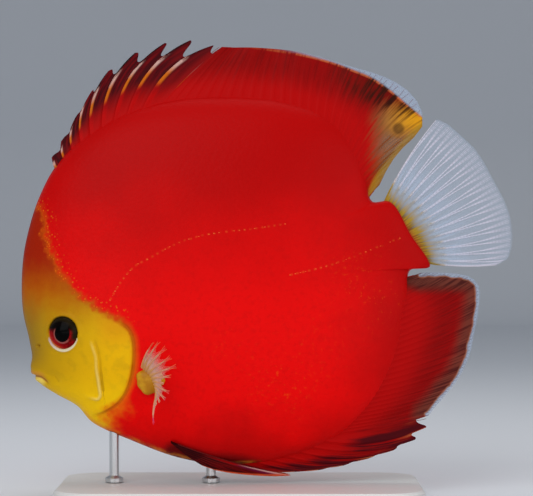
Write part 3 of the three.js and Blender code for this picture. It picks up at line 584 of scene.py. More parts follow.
def skin_material(colours):
    """Wet skin: red body, yellow face, dotted lateral line, fine scales and pale eye ring."""
    s = Shade("discus_skin")
    cloud = s.noise(0.05, 3)
    speck = s.noise(0.9, 4, 0.6)
    mouth = s.absolute(s.attribute("mouth"))
    # The face's colour over an orange border, with small dots outside it on the brow
    border = face_border(s)
    orange = s.mix(s.step(s.z, 34, 60), SKIN.border_low, SKIN.border_high)
    tone = s.mix(s.step(border, -2.6, 0.2), skin_red(s, colours, s.waver(cloud, 30), speck), orange)
    tone = s.mix(s.step(border, -0.9, 1.3), tone, skin_face(s, mouth))
    zone = s.times(s.step(border, -5.5, -1.5), s.step(border, 1.0, -0.5), s.step(s.z, 52, 60))
    tone = s.paint(tone, SKIN.dot, s.step(s.cells(0.95), 0.3, 0.16), zone, 0.7)
    # Painted highlight on the cheek ridge, and painted shade in the groove behind it, in the crease at the
    # gill cover's free edge and along the mouth's line
    ridge = s.times(s.step(s.absolute(s.attribute("ridge")), 0.75, 0.1), s.attribute("ridge_fade"))
    tone = s.paint(tone, SKIN.ridge, ridge, 0.62)
    groove = s.times(s.step(s.absolute(s.attribute("groove")), 0.55, 0.1), s.attribute("ridge_fade"))
    tone = s.paint(tone, SKIN.groove, groove, 0.42)
    gill_off = s.absolute(s.minus(s.attribute("gill"), 0.35))
    gill_fold = s.times(s.step(gill_off, 0.75, 0.1), s.attribute("gill_fade"))
    tone = s.paint(tone, SKIN.gill_fold, gill_fold, 0.45)
    tone = s.paint(tone, SKIN.mouth, s.step(mouth, 0.42, 0.12), s.attribute("mouth_fade"), 0.75)
    # Painted shadow round the belly fins, faint lateral line, and a thin yellow rim along the belly that is
    # painted light bounced up from below
    under = s.step(s.plus(s.attribute("pelvic_off"), s.times(cloud, 3)), 6.0, 2.4)
    tone = s.paint(tone, SKIN.belly, under, 0.8)
    pulse = s.step(s.math("SINE", s.times(s.attribute("lateral_along"), 3.4)), -0.2, 0.8)
    tone = s.paint(tone, SKIN.lateral, s.step(s.attribute("lateral"), 0.5, 0.1), pulse, 0.16)
    # Painted light: a yellow rim on the lower belly's edge, as if lit from below
    rim = s.times(s.step(s.attribute("belly_rim"), 1.5, 0.4), s.step(s.noise(0.3, 3), 0.35, 0.6))
    tone = s.paint(tone, SKIN.rim, rim, 0.5)
    # Shaded folds by the mouth and nostril, shade above the eye and a pale crescent under it
    tone = s.mix(s.step(s.attribute("fold"), 0.15, 1.0), tone, SKIN.fold)
    tone = s.mix(s.step(s.attribute("eye_shade"), 0.2, 0.9), tone, SKIN.eye_shade)
    ring_tone = s.mix(s.step(s.x, -55, -58.5), SKIN.eye_ring, SKIN.eye_ring_front)
    tone = s.mix(s.step(s.attribute("eye_ring"), 0.25, 0.8), tone, ring_tone)
    # Fine scales, grain and folds
    normal = s.bump(s.rest(s.cells(0.78, s.turned(-21, (1, 1, 1.15)))), 0.22, 0.00022)
    normal = s.bump(speck, 0.1, 0.0003, normal)
    folds = s.minus(ridge, s.plus(groove, s.times(gill_fold, 1.3)))
    normal = s.bump(folds, 0.6, 0.00045, normal)
    rough = s.plus(0.34, s.times(speck, 0.14))
    return s.set(Base_Color=tone, Roughness=rough, Specular_IOR_Level=0.06, Normal=normal)


def eye_material():
    """Black oval pupil, thin pinkish ring and crimson iris, with painted shade over its top and a painted
    shadow along its upper rear edge.
    """
    s = Shade("discus_eye")
    up, fore, pupil, off = (s.attribute(name) for name in ("up", "fore", "pupil", "off"))
    iris = s.mix(s.step(s.noise(1.6, 4, 0.6), 0.3, 0.7), IRIS.dark, IRIS.crimson)
    iris = s.paint(iris, IRIS.low, s.step(s.minus(fore, up), 1.2, 4.5), 0.7)
    # Painted shade: the iris turns nearly black towards the top
    iris = s.mix(s.step(up, -0.2, 1.8), iris, IRIS.top)
    lower = s.step(s.minus(up, s.times(fore, 0.8)), 0.9, -0.9)
    iris = s.paint(iris, IRIS.ring, s.step(pupil, 0.98, 1.06), s.step(pupil, 1.26, 1.16), lower)
    tone = s.mix(s.step(pupil, 1.04, 0.98), iris, IRIS.pupil)
    tone = s.paint(tone, IRIS.rim, s.step(off, 3.9, 4.25), s.step(fore, -0.5, 2.5), s.step(up, 1.5, -0.5))
    # Painted shadow of the socket along the eye's upper rear edge
    above = s.step(s.minus(up, s.times(fore, 0.7)), -0.5, 1.5)
    tone = s.paint(tone, IRIS.shade, s.step(off, 3.3, 4.3), above)
    return s.set(Base_Color=tone, Roughness=0.2, Specular_IOR_Level=0.04, Coat_Weight=0.01,
                 Coat_Roughness=0.05)


def dorsal_material(colours):
    """Deep red with fine dark rays, dark flaps with pale fronts, and a clear edge with gold at the rear."""
    s = Shade("dorsal_fin")
    along, ray, opaque = (s.attribute(name) for name in ("along", "ray", "opaque"))
    cloud = s.noise(0.12, 3)
    fine = s.noise(1.0, 4, 0.6, s.by_rays(3.2, 1.6))
    tone = s.mix(s.step(along, 0.25, 0.75), colours.red_deep, colours.fin_deep)
    tone = s.paint(tone, BACK.streak, s.step(along, 0.3, 0.7), s.step(fine, 0.45, 0.65), 0.5)
    # Darker bands below the flaps, one to a spine
    front = s.step(ray, 9.5, 8.0)
    behind = s.math("FRACT", ray)
    tone = s.paint(tone, BACK.band, s.step(behind, 0.2, 0.42), s.step(along, 0.04, 0.26), front, 0.6)
    # Flaps: nearly black behind a narrow stripe that turns from red over orange to a pinkish white
    flap_tone = s.mix(s.step(fine, 0.4, 0.65), BACK.flap_dark, BACK.flap)
    tone = s.paint(tone, flap_tone, front, s.step(s.plus(along, s.times(fine, 0.24)), 0.28, 0.56))
    stripe_tone = s.mix(s.step(along, 0.28, 0.4), BACK.stripe_root, BACK.stripe)
    stripe_tone = s.mix(s.step(along, 0.46, 0.62), stripe_tone, BACK.stripe_tip)
    stripe = s.times(front, s.step(along, 0.26, 0.36), s.step(behind, 0.24, 0.1))
    stripe_end = s.step(s.plus(along, s.times(s.noise(0.6, 3), 0.2)), 0.86, 0.74)
    tone = s.paint(tone, stripe_tone, stripe, stripe_end, 0.9)
    # Rear: brown-black streaks, and see-through gold and pinkish tan behind them
    rear = s.times(s.step(s.plus(s.x, s.times(cloud, 12)), 32, 45), s.step(s.z, 96, 110))
    dark = s.step(s.plus(opaque, s.times(cloud, 5)), 14, 6)
    streaky = s.plus(0.45, s.times(s.step(fine, 0.4, 0.6), 0.5))
    tone = s.paint(tone, BACK.rear, rear, dark, streaky)
    frayed = s.waver(fine, 12)
    hind = s.times(s.step(s.plus(s.x, frayed), 38.5, 46.5), s.step(s.plus(s.z, frayed), 123, 116))
    hind_tone = s.mix(s.step(s.z, 98, 109), BACK.hind_low, BACK.hind)
    hind_tone = s.paint(hind_tone, BACK.gold, s.step(s.z, 109, 116), s.step(s.x, 42, 55))
    hind_tone = s.paint(hind_tone, BACK.hind_streak, s.step(fine, 0.42, 0.62), 0.45)
    tone = s.paint(tone, hind_tone, hind, 0.94)
    tone = s.paint(tone, BACK.hind_edge, s.step(s.attribute("hind"), 1.8, 0.5), s.step(s.z, 90, 94), 0.65)
    mark = s.node("ShaderNodeVectorMath", operation="DISTANCE", ins={0: s.mm, 1: BACK_MARK}).outputs["Value"]
    tone = s.paint(tone, BACK.mark, s.step(s.absolute(s.minus(mark, 0.9)), 1.5, 0.3), 0.62)
    # Thin broken orange line at the end of the opaque part, and a clear edge outside it with a painted bluish
    # tint for light seen through it
    line = s.times(s.step(s.absolute(opaque), 0.6, 0.15), s.step(s.x, -6, 26))
    tone = s.paint(tone, BACK.line, line, s.step(fine, 0.65, 0.4), 0.7)
    clear = s.times(s.step(opaque, 0.1, -0.9), s.step(s.x, 10, 26))
    tone = s.mix(clear, tone, CLEAR_EDGE)
    lucid = s.times(hind, s.step(s.z, 116, 110), s.step(mark, 1.5, 3.5))
    alpha = s.minus(s.rest(s.times(clear, 0.72)), s.times(lucid, 0.35), clamp=True)
    return s.set(Base_Color=tone, Alpha=alpha, Roughness=0.5, Specular_IOR_Level=0.06, Normal=s.ray_bump())


def anal_material(colours):
    """Deep red with fine rays, a brownish band and a clear edge at the rear, streaked flaps below."""
    s = Shade("anal_fin")
    along = s.attribute("along")
    front = s.step(s.attribute("ray"), 8.8, 7.2)
    fine = s.noise(1.0, 4, 0.6, s.by_rays(3.2, 1.6))
    tone = s.mix(s.step(along, 0.15, 0.6), colours.red_deep, colours.fin_deep)
    tone = s.paint(tone, ANAL.streak, s.step(along, 0.3, 0.7), s.step(fine, 0.42, 0.62), 0.6)
    # Flaps: long dark maroon streaks between bright red ones, pale tan at the tips
    streaks = s.noise(1.0, 3, 0.6, s.by_rays(1.7, 1.1))
    start = s.step(s.plus(along, s.times(streaks, 0.5)), 0.5, 0.72)
    tone = s.paint(tone, ANAL.flap, front, s.step(streaks, 0.4, 0.55), start, 0.9)
    tone = s.paint(tone, ANAL.tip, front, s.step(streaks, 0.48, 0.36), s.step(along, 0.72, 0.95), 0.6)
    # Rear: a brown band, a thin orange line and a clear edge with a painted bluish tint; painted shadow,
    # nearly black, in the corner by the tail
    behind = s.rest(front)
    inset = s.plus(s.attribute("inset"), s.waver(s.noise(0.3, 3), 1.6))
    corner = s.times(s.step(s.plus(s.z, s.times(fine, 3)), 63, 68), s.step(s.x, 76, 68))
    tone = s.paint(tone, ANAL.corner, corner, 0.85)
    band_tone = s.mix(s.step(fine, 0.42, 0.62), ANAL.band, ANAL.band_dark)
    tone = s.paint(tone, band_tone, behind, s.step(inset, 7.0, 2.6), 0.9)
    tone = s.paint(tone, ANAL.line, s.step(inset, 1.6, 1.2), s.step(inset, 0.7, 1.1), behind, 0.45)
    clear = s.times(behind, s.step(inset, 1.3, 0.5))
    tone = s.mix(clear, tone, CLEAR_EDGE)
    alpha = s.rest(s.times(clear, 0.74))
    return s.set(Base_Color=tone, Alpha=alpha, Roughness=0.5, Specular_IOR_Level=0.06, Normal=s.ray_bump())


def tail_material():
    """Fuzzy olive-gold root and a clear membrane, with a faint painted bluish tint for light seen through it.
    """
    s = Shade("tail_fin")
    along = s.attribute("along")
    fine = s.noise(1.0, 4, 0.6, s.by_rays(2.6, 2.0))
    root = s.step(s.plus(along, s.times(fine, 0.2)), 0.42, 0.24)
    tone = s.mix(root, TAIL.clear, s.mix(s.step(fine, 0.4, 0.65), TAIL.root, TAIL.root_dark))
    tone = s.paint(tone, TAIL.stalk, s.step(along, 0.16, 0.06), 0.8)
    near_root = s.times(s.step(along, 0.75, 0.3), s.step(fine, 0.35, 0.6))
    alpha = s.plus(s.plus(0.16, s.times(root, 0.8)), s.times(near_root, 0.22), clamp=True)
    return s.set(Base_Color=tone, Alpha=alpha, Roughness=0.35, Specular_IOR_Level=0.1,
                 Normal=s.ray_bump(strength=0.2))


def pectoral_material():
    """Pinkish membrane near the root that clears towards the frayed tips."""
    s = Shade("pectoral_fin")
    along = s.attribute("along")
    tone = s.mix(s.step(along, 0.35, 0.1), PECTORAL.pink, PECTORAL.root)
    alpha = s.plus(0.08, s.times(s.step(along, 0.7, 0.3), 0.85))
    return s.set(Base_Color=tone, Alpha=alpha, Roughness=0.35, Specular_IOR_Level=0.12, Normal=s.ray_bump())


def pelvic_material():
    """Nearly black maroon that fades into red streaks, with a pale streak and an orange lower margin."""
    s = Shade("pelvic_fin")
    along, ray = s.attribute("along"), s.attribute("ray")
    fine = s.noise(1.0, 3, 0.6, s.by_rays(1.6, 1.4))
    tone = s.mix(s.step(fine, 0.4, 0.62), PELVIC.dark, PELVIC.maroon)
    tone = s.paint(tone, PELVIC.red, s.step(ray, 1.6, 0.2), s.step(along, 0.22, 0.4), 0.8)
    tone = s.paint(tone, PELVIC.blob, s.step(s.plus(s.x, s.times(fine, 5)), 0, -12), 0.7)
    tone = s.paint(tone, PELVIC.margin, s.step(along, 0.86, 0.97), s.step(ray, 0.9, 1.6), 0.7)
    tone = s.paint(tone, PELVIC.violet, s.step(ray, 1.3, 0.8), s.step(along, 0.55, 0.66), 0.7)
    tone = s.paint(tone, PELVIC.pale, s.step(ray, 0.55, 0.2), s.step(along, 0.56, 0.7), 0.75)
    tone = s.mix(s.step(along, 0.88, 0.97), tone, PELVIC.tip)
    return s.set(Base_Color=tone, Roughness=0.5, Specular_IOR_Level=0.06,
                 Normal=s.ray_bump(0.35, 0.3, 0.0003))


def ray_material(name):
    """A fin ray that changes colour towards its tip, some over a middle colour or to another one low down."""
    tones = RAY_TONES[name]
    low, high = tones["fade"]
    s = Shade(name)
    along = s.attribute("along")
    place = s.plus(along, s.waver(s.noise(0.8, 3), 0.15))
    tip = tones["tip"]
    if "below" in tones:
        tip = s.mix(s.step(s.z, 36, 30), tip, tones["below"])
    tone = s.mix(s.step(place, low, high), tones["root"], tip)
    if "middle" in tones:
        share = s.times(s.step(place, low - 0.1, low + 0.05), s.step(place, high, high - 0.15))
        tone = s.mix(share, tone, tones["middle"])
    joints = s.step(s.math("SINE", s.times(along, 190.0)), -0.6, 0.9)
    tone = s.paint(tone, RAY_JOINT, joints, 0.16)
    return s.set(Base_Color=tone, Roughness=0.42, Specular_IOR_Level=0.1)


def pore_material():
    """Pale orange scales of the lateral line."""
    s = Shade("lateral_scales")
    tone = s.mix(s.noise(0.8, 2), (0.9, 0.05, 0.01), (0.95, 0.26, 0.05))
    return s.set(Base_Color=tone, Roughness=0.4, Specular_IOR_Level=0.15)


def flesh_pad_material():
    """Yellow flesh at the root of the breast fin."""
    s = Shade("pectoral_pad")
    tone = s.mix(s.step(s.noise(0.35, 3), 0.35, 0.7), (0.5, 0.21, 0.005), (0.66, 0.33, 0.012))
    normal = s.bump(s.noise(1.1, 4), 0.3, 0.0004)
    return s.set(Base_Color=tone, Roughness=0.35, Specular_IOR_Level=0.15, Normal=normal)


def stand_material():
    """Pale satin stand with a fine moulded grain."""
    s = Shade("stand_satin")
    tone = s.mix(s.noise(0.06, 3), (0.7, 0.7, 0.68), (0.76, 0.755, 0.74))
    return s.set(Base_Color=tone, Roughness=0.42, Normal=s.bump(s.noise(3.0, 4), 0.12, 0.0001))


def rod_material():
    """Brushed steel rods."""
    s = Shade("rod_steel")
    grain = s.noise(1.2, 3, where=s.turned(0, (1, 1, 14)))
    tone = s.mix(grain, (0.5, 0.51, 0.52), (0.68, 0.69, 0.7))
    rough = s.plus(0.24, s.times(grain, 0.12))
    return s.set(Base_Color=tone, Metallic=1.0, Roughness=rough, Normal=s.bump(grain, 0.06, 0.0001))


def rings_of_skin(rings):
    """Points of the whole skin, ring after ring from the left centre over the rim to the right one."""
    numbers = [np.linspace(start, end, steps, endpoint=False) for start, end, steps in SKIN_STEPS]
    rim = RIM.at(np.concatenate(numbers) / len(BODY_OUTLINE) % 1) - BODY_CENTRE
    angle, reach = np.arctan2(rim[:, 1], rim[:, 0]), np.hypot(rim[:, 0], rim[:, 1])
    shares = (1 - (1 - np.arange(1, rings + 1) / rings) ** RING_CROWDING)[:, None]
    out = ring_reach(shares, easy_reach_at(angle), reach)
    x = BODY_CENTRE[0] + out * np.cos(angle)
    z = BODY_CENTRE[1] + out * np.sin(angle)
    y = half_width(x, z, shares * np.ones_like(x))
    proud = BODY_CENTRE + rim * (1 + RIM_PROUD / reach)[:, None]
    middle = np.stack([proud[:, 0], 0 * reach, proud[:, 1]], -1)
    grid = np.concatenate([np.stack([x, -y, z], -1), middle[None], np.stack([x, y, z], -1)[::-1]])
    grid[..., 1] += sweep(grid[..., 0])
    return grid


def eye_relief(grid, side):
    """One eye's socket with its low ring of skin, the pale crescent below and the shade above."""
    centre, out = flank_point(*EYE_AT, side)
    away = grid - centre
    radial = np.linalg.norm(away - (away @ out)[..., None] * out, axis=-1)
    near = (np.sign(grid[..., 1] - sweep(grid[..., 0])) == side) & (radial < 12)
    socket = -2.6 * smoothstep(5.0, 4.2, radial) + 0.4 * mound(radial - 5.55, 0.55)
    down = -away[..., 2] / np.maximum(radial, 1e-6)
    crescent = mound(radial - 4.75 - 0.6 * np.clip(down, 0, 1), 0.55) * smoothstep(0.05, 0.45, down)
    rear_up = -down * 0.7 + away[..., 0] / np.maximum(radial, 1e-6) * 0.5
    shade = mound(radial - 4.7, 0.6) * smoothstep(-0.1, 0.5, rear_up)
    return [np.where(near, part, 0) for part in (socket, crescent, shade)]


def skin_relief(grid):
    """How far each point of the skin is raised or sunk, and the named shading marks that go with it."""
    x, z = grid[..., 0], grid[..., 2]
    marks = {}
    # Gill cover: stands proud of the flank behind it
    off, along = from_line(round_line(GILL_REAR), x, z, signed=True)
    fade = smoothstep(0, 5, along) * smoothstep(0, 6, Curve(GILL_REAR).travelled[-1] - along)
    marks["gill"], marks["gill_fade"] = off, fade
    relief = fade * (0.42 * smoothstep(1.0, -0.8, off) * mound(off, 3) - 0.2 * mound(off - 1, 0.8))
    # Ridge before the gill cover, with a groove behind it
    off, along = from_line(round_line(CHEEK_RIDGE), x, z, signed=True)
    fade = smoothstep(0, 3, along)
    marks["ridge"] = off
    marks["ridge_fade"] = fade * (0.5 + 0.5 * smoothstep(6, 14, along)) * smoothstep(22.4, 18.5, along)
    relief += 0.36 * fade * mound(off, 0.95)
    off, along = from_line(round_line(CHEEK_GROOVE), x, z, signed=True)
    marks["groove"] = off
    relief -= 0.14 * smoothstep(0, 3, along) * mound(off, 0.8)
    # Mouth: two rolled lips with a line between them, and a fold behind it
    off, along = from_line(round_line(MOUTH_LINE), x, z, signed=True)
    fade = smoothstep(8.4, 6.2, along)
    marks["mouth"], marks["mouth_fade"] = off, fade
    relief += fade * (0.36 * mound(abs(off) - 1.05, 0.75) - 0.4 * mound(off, 0.42))
    off, _ = from_line(MOUTH_FOLD, x, z)
    relief -= 0.22 * mound(off, 0.7)
    # Nostril
    nose = np.hypot(x - NOSTRIL[0], z - NOSTRIL[1])
    relief += 0.2 * mound(nose - 0.95, 0.35) - 0.7 * mound(nose, 0.45)
    marks["fold"] = np.maximum(0.4 * mound(off, 0.5), 0.7 * mound(nose, 0.45))
    left, right = eye_relief(grid, -1), eye_relief(grid, 1)
    relief += left[0] + right[0]
    marks["eye_ring"], marks["eye_shade"] = (np.maximum(left[k], right[k]) for k in (1, 2))
    return relief, marks


def grid_normals(grid):
    """Outward directions of a closed band of rings."""
    around = np.roll(grid, -1, axis=1) - np.roll(grid, 1, axis=1)
    across = np.gradient(grid, axis=0)
    normals = np.cross(around, across)
    normals /= np.maximum(np.linalg.norm(normals, axis=-1, keepdims=True), 1e-9)
    return normals if normals[5, 10, 1] < 0 else -normals


def ring_faces(grid):
    """Faces between rings of points, and fans to the two points that follow them, one at each end."""
    rings, turns = grid.shape[:2]
    index = np.arange(rings * turns).reshape(rings, turns)
    following = np.roll(index, -1, axis=1)
    faces = np.stack([index[:-1], index[1:], following[1:], following[:-1]], -1).reshape(-1, 4).tolist()
    faces += [(rings * turns, a, b) for a, b in zip(index[0], following[0])]
    return faces + [(rings * turns + 1, b, a) for a, b in zip(index[-1], following[-1])]


def facing_out(faces, vertices, centre):
    """The faces of a round form, turned over where they look at its centre."""
    a, b, c = (vertices[faces[5][k]] for k in range(3))
    if np.dot(np.cross(b - a, c - a), a - centre) < 0:
        return [tuple(reversed(face)) for face in faces]
    return faces


def make_skin(colours, rings):
    """One skin over the head, trunk, tail stalk and gill covers."""
    grid = rings_of_skin(rings)
    relief, marks = skin_relief(grid)
    grid = grid + grid_normals(grid) * relief[..., None]
    depth = half_width(*BODY_CENTRE, 0.0)
    centres = [[BODY_CENTRE[0], side * depth, BODY_CENTRE[1]] for side in (-1, 1)]
    vertices = np.vstack([grid.reshape(-1, 3), centres])
    x, z = vertices[:, 0], vertices[:, 2]
    face_off, _ = from_line(round_line(FACE_EDGE, 90), x, z)
    (front_off, front_along), (rear_off, rear_along) = (
        from_line(round_line(line), x, z) for line in LATERAL_LINES)
    belly_rim, _ = from_line(RIM.at(np.linspace(*BELLY_RIM, 60) / len(BODY_OUTLINE)), x, z)
    pelvic_off, _ = from_line(PELVIC_SHADOW, x, z)
    attributes = {
        "face": np.where(inside(FACE_REGION, x, z), face_off, -face_off),
        "lateral": np.minimum(front_off, rear_off),
        "lateral_along": np.where(front_off < rear_off, front_along, rear_along),
        "belly_rim": belly_rim,
        "pelvic_off": pelvic_off,
        "flecks": sum(bell(x, z, spot) for spot in FLECK_SPOTS) * smoothstep(-50, -10, x),
    }
    for key, values in marks.items():
        attributes[key] = np.append(values.ravel(), [0, 0])
    faces = facing_out(ring_faces(grid), vertices, np.insert(BODY_CENTRE, 1, 0))
    skin = make_mesh("skin", vertices, faces, attributes)
    return dress(skin, skin_material(colours), "red_skin",
                 "head", "trunk", "tail_stalk", "gill_cover_left", "gill_cover_right")


def make_eye(name, side, material):
    """A glossy lens-shaped ball in its socket."""
    centre, out = flank_point(*EYE_AT, side)
    middle = centre - EYE_SUNK * out
    up = np.array([0, 0, 1.0]) - out * out[2]
    up /= np.linalg.norm(up)
    across = np.cross(up, out)
    polar = np.linspace(0, math.pi, EYE_ROWS + 1)[1:-1, None, None]
    turn = np.linspace(0, 2 * math.pi, EYE_COLUMNS, endpoint=False)[:, None]
    radial = EYE_RADIUS * np.sin(polar)
    lift = EYE_HALF_DEPTH * np.cos(polar)
    lift = lift + EYE_BULGE * mound(radial, 2.3) * (lift > 0)
    grid = middle + radial * (np.cos(turn) * across + np.sin(turn) * up) + lift * out
    front = middle + (EYE_HALF_DEPTH + EYE_BULGE) * out
    vertices = np.vstack([grid.reshape(-1, 3), front, middle - EYE_HALF_DEPTH * out])
    away = vertices - middle
    depth = away @ out
    flat = away - depth[:, None] * out
    fore, rise = -flat[:, 0], flat @ up
    pupil = np.hypot((fore + PUPIL["forward"]) / PUPIL["half_width"], rise / PUPIL["half_height"])
    # The ball's back half is all rim, so that no pupil shows through from behind
    ball = make_mesh(name, vertices, facing_out(ring_faces(grid), vertices, middle), {
        "off": np.where(depth < 0, 5.0, np.linalg.norm(flat, axis=1)),
        "pupil": np.where(depth < 0, 9.0, pupil), "up": rise, "fore": fore})
    return dress(ball, material, "eye", name)


def sunk_base(number):
    """A point a little inside the rim, at a number along the outline's points."""
    p = RIM.at(np.array(number / len(BODY_OUTLINE) % 1))
    inward = BODY_CENTRE - p
    return p + ROOT_DEPTH * inward / np.linalg.norm(inward)


def fin_rays(form):
    """Rays of a fin with notched spines in front and soft rays behind: base, tip, bow and notch of each."""
    start, end = form["base"]
    tips, share = form["tips"], form["share"]
    margin = Curve(form["margin"])
    rays = []
    for k, tip in enumerate(tips):
        number = start + (end - start) * share * k / len(tips)
        rays.append((sunk_base(number), np.array(tip, float), form["bow"], form["flap"]))
    for k in range(form["count"]):
        s = k / (form["count"] - 1)
        number = start + (end - start) * (share + (1 - share) * s)
        rays.append((sunk_base(number), margin.even(np.array(s ** form["spread"])), form["soft_bow"], 0))
    return rays


def tail_rays():
    """Rays of the tail fin."""
    margin = Curve(TAIL_MARGIN)
    top, low = np.array(TAIL_ROOT_TOP), np.array(TAIL_ROOT_LOW)
    return [(top + (low - top) * s, margin.even(np.array(s)), TAIL_BOW * (1 - 2 * s), 0)
            for s in np.linspace(0, 1, TAIL_RAYS)]


def curved(base, middle, tip, v):
    """A point at a share of the way from base to tip, drawn towards the middle point."""
    return (1 - v) ** 2 * base + 2 * v * (1 - v) * middle + v**2 * tip


def along_ray(ray, v):
    """A point of a ray's path, bowed towards the front of the fin."""
    base, tip, bow, _ = ray
    chord = tip - base
    return curved(base, base + chord / 2 + np.array([-chord[1], chord[0]]) * bow, tip, v)


def fin_point(rays, number, v, ripple=0.0):
    """A point of the fin between rays, as x, y and z."""
    k = min(int(number), len(rays) - 2)
    s = number - k
    x, z = along_ray(rays[k], v) * (1 - s) + along_ray(rays[k + 1], v) * s
    wave = ripple * v**2 * math.sin(number * 1.1) + 0.35 * ripple * v * math.sin(number * 0.37 + 1)
    return np.array([x, float(sweep(x)) + wave, z])


def sheet_mesh(name, middle, half, attributes):
    """A thin closed sheet about a grid of middle points."""
    across, along = np.gradient(middle, axis=0), np.gradient(middle, axis=1)
    normals = np.cross(across, along)
    normals /= np.maximum(np.linalg.norm(normals, axis=-1, keepdims=True), 1e-9)
    columns, rows = middle.shape[:2]
    offset = normals * half[..., None]
    vertices = np.vstack([(middle + offset).reshape(-1, 3), (middle - offset).reshape(-1, 3)])
    index = np.arange(columns * rows).reshape(columns, rows)
    near = np.stack([index[:-1, :-1], index[1:, :-1], index[1:, 1:], index[:-1, 1:]], -1).reshape(-1, 4)
    far = near[:, ::-1] + columns * rows
    loop = np.concatenate([index[:, 0], index[-1, 1:], index[-2::-1, -1], index[0, -2:0:-1]])
    after = np.roll(loop, -1)
    rim = np.stack([loop, loop + columns * rows, after + columns * rows, after], -1)
    doubled = {key: np.tile(values.ravel(), 2) for key, values in attributes.items()}
    return make_mesh(name, vertices, near.tolist() + far.tolist() + rim.tolist(), doubled)


def fin_membrane(name, rays, rows, between, ripple, root=2.8, lines=None, region=None):
    """The membrane of a median fin, with ridges, notches and its distances from named lines."""
    numbers, ends = [], []
    for k, (_, _, _, flap) in enumerate(rays[:-1]):
        for s in np.linspace(0, 1, 2 * between if flap else between, endpoint=False):
            numbers.append(k + s)
            ends.append(1 - flap * float(smoothstep(0, 0.92, s)) * (1 - float(smoothstep(0.93, 1, s))))
    numbers, ends = np.array(numbers + [len(rays) - 1]), np.array(ends + [1])
    v = np.linspace(0, 1, rows + 1)
    middle = np.array([[fin_point(rays, n, e * t, ripple) for t in v] for n, e in zip(numbers, ends)])
    ridge = mound(np.abs((numbers + 0.5) % 1 - 0.5), 0.16)[:, None] * 0.1 * (1 - v) ** 0.6
    half = 0.12 + 0.06 * (1 - v) + root * (1 - v) ** 3.6 + ridge
    x, z = middle[..., 0], middle[..., 2]
    attributes = {"ray": numbers[:, None] + 0 * v, "along": ends[:, None] * v}
    for key, line in (lines or {}).items():
        attributes[key], _ = from_line(round_line(line), x, z)
    if region:
        attributes["opaque"] *= np.where(inside(region, x, z), 1, -1)
    return sheet_mesh(name, middle, half, attributes)


def ray_paths(rays, point, fork=0.0, fork_at=0.6, spine_end=0.995, twice=False):
    """Lines of points for the rays, forked once or twice towards their tips, with their sizes."""
    lines = []

    def add(k, forks, start, end, steps, size, thinning):
        """One line that leaves its ray, by so many rays at the tip, from each fork on."""
        line = []
        for t in np.linspace(start, end, steps):
            number = k + sum(way * (t - at) / (1 - at) for way, at in forks)
            place = point(min(max(number, 0), len(rays) - 1), t)
            line.append((place, size * (1 - thinning * t), t))
        lines.append(line)

    for k, (_, _, _, flap) in enumerate(rays):
        if flap or not fork:
            add(k, [], 0.06, spine_end, 22, 1, 0.8 / spine_end)
            continue
        add(k, [], 0.06, fork_at, 14, 1, 0.55)
        for way in (-fork, fork):
            add(k, [(way, fork_at)], fork_at - 0.02, 0.985, 10, 0.72, 0.75)
            if twice:
                again = fork_at + 0.45 * (1 - fork_at)
                for turn in (-fork / 2, fork / 2):
                    add(k, [(way, fork_at), (turn, again)], again, 0.98, 8, 0.5, 0.8)
    return lines


def new_tree(name, output, inputs):
    """A geometry tree with named inputs of given kinds and defaults, and the sockets that they give."""
    tree = bpy.data.node_groups.new(name, "GeometryNodeTree")
    tree.is_modifier = True
    for key, kind, default in inputs:
        socket = tree.interface.new_socket(name=key, in_out="INPUT", socket_type="NodeSocket" + kind)
        if default is not None:
            socket.default_value = default
    tree.interface.new_socket(name=output, in_out="OUTPUT", socket_type="NodeSocketGeometry")
    return tree, tree.nodes.new("NodeGroupInput").outputs


def end_tree(tree, geometry, finish):
    """Ends a tree: its instances are made real and given their material."""
    real = add_node(tree, "GeometryNodeRealizeInstances", {"Geometry": geometry})
    last = add_node(tree, "GeometryNodeSetMaterial", {"Geometry": real.outputs[0], "Material": finish})
    tree.links.new(last.outputs[0], tree.nodes.new("NodeGroupOutput").inputs[0])
    return tree


def ray_tree():
    """Round rods along lines, as thick at each point as its size says."""
    tree, given = new_tree("Fin rays", "Rays", [
        ("Lines", "Geometry", None), ("Root radius", "Float", 0.0003), ("Sides", "Int", RAY_SIDES),
        ("Finish", "Material", None)])
    curve = add_node(tree, "GeometryNodeMeshToCurve", {"Mesh": given["Lines"]})
    size = add_node(tree, "GeometryNodeInputNamedAttribute", {"Name": "size"}, data_type="FLOAT")
    radius = add_node(tree, "ShaderNodeMath", {0: size.outputs["Attribute"], 1: given["Root radius"]},
                      operation="MULTIPLY")
    sized = add_node(tree, "GeometryNodeSetCurveRadius", {
        "Curve": curve.outputs[0], "Radius": radius.outputs[0]})
    ring = add_node(tree, "GeometryNodeCurvePrimitiveCircle", {"Resolution": given["Sides"], "Radius": 1.0})
    found = add_node(tree, "GeometryNodeInputRadius")
    swept = add_node(tree, "GeometryNodeCurveToMesh", {
        "Curve": sized.outputs[0], "Profile Curve": ring.outputs[0], "Scale": found.outputs[0],
        "Fill Caps": True})
    smooth = add_node(tree, "GeometryNodeSetShadeSmooth", {"Geometry": swept.outputs[0]})
    return end_tree(tree, smooth.outputs[0], given["Finish"])


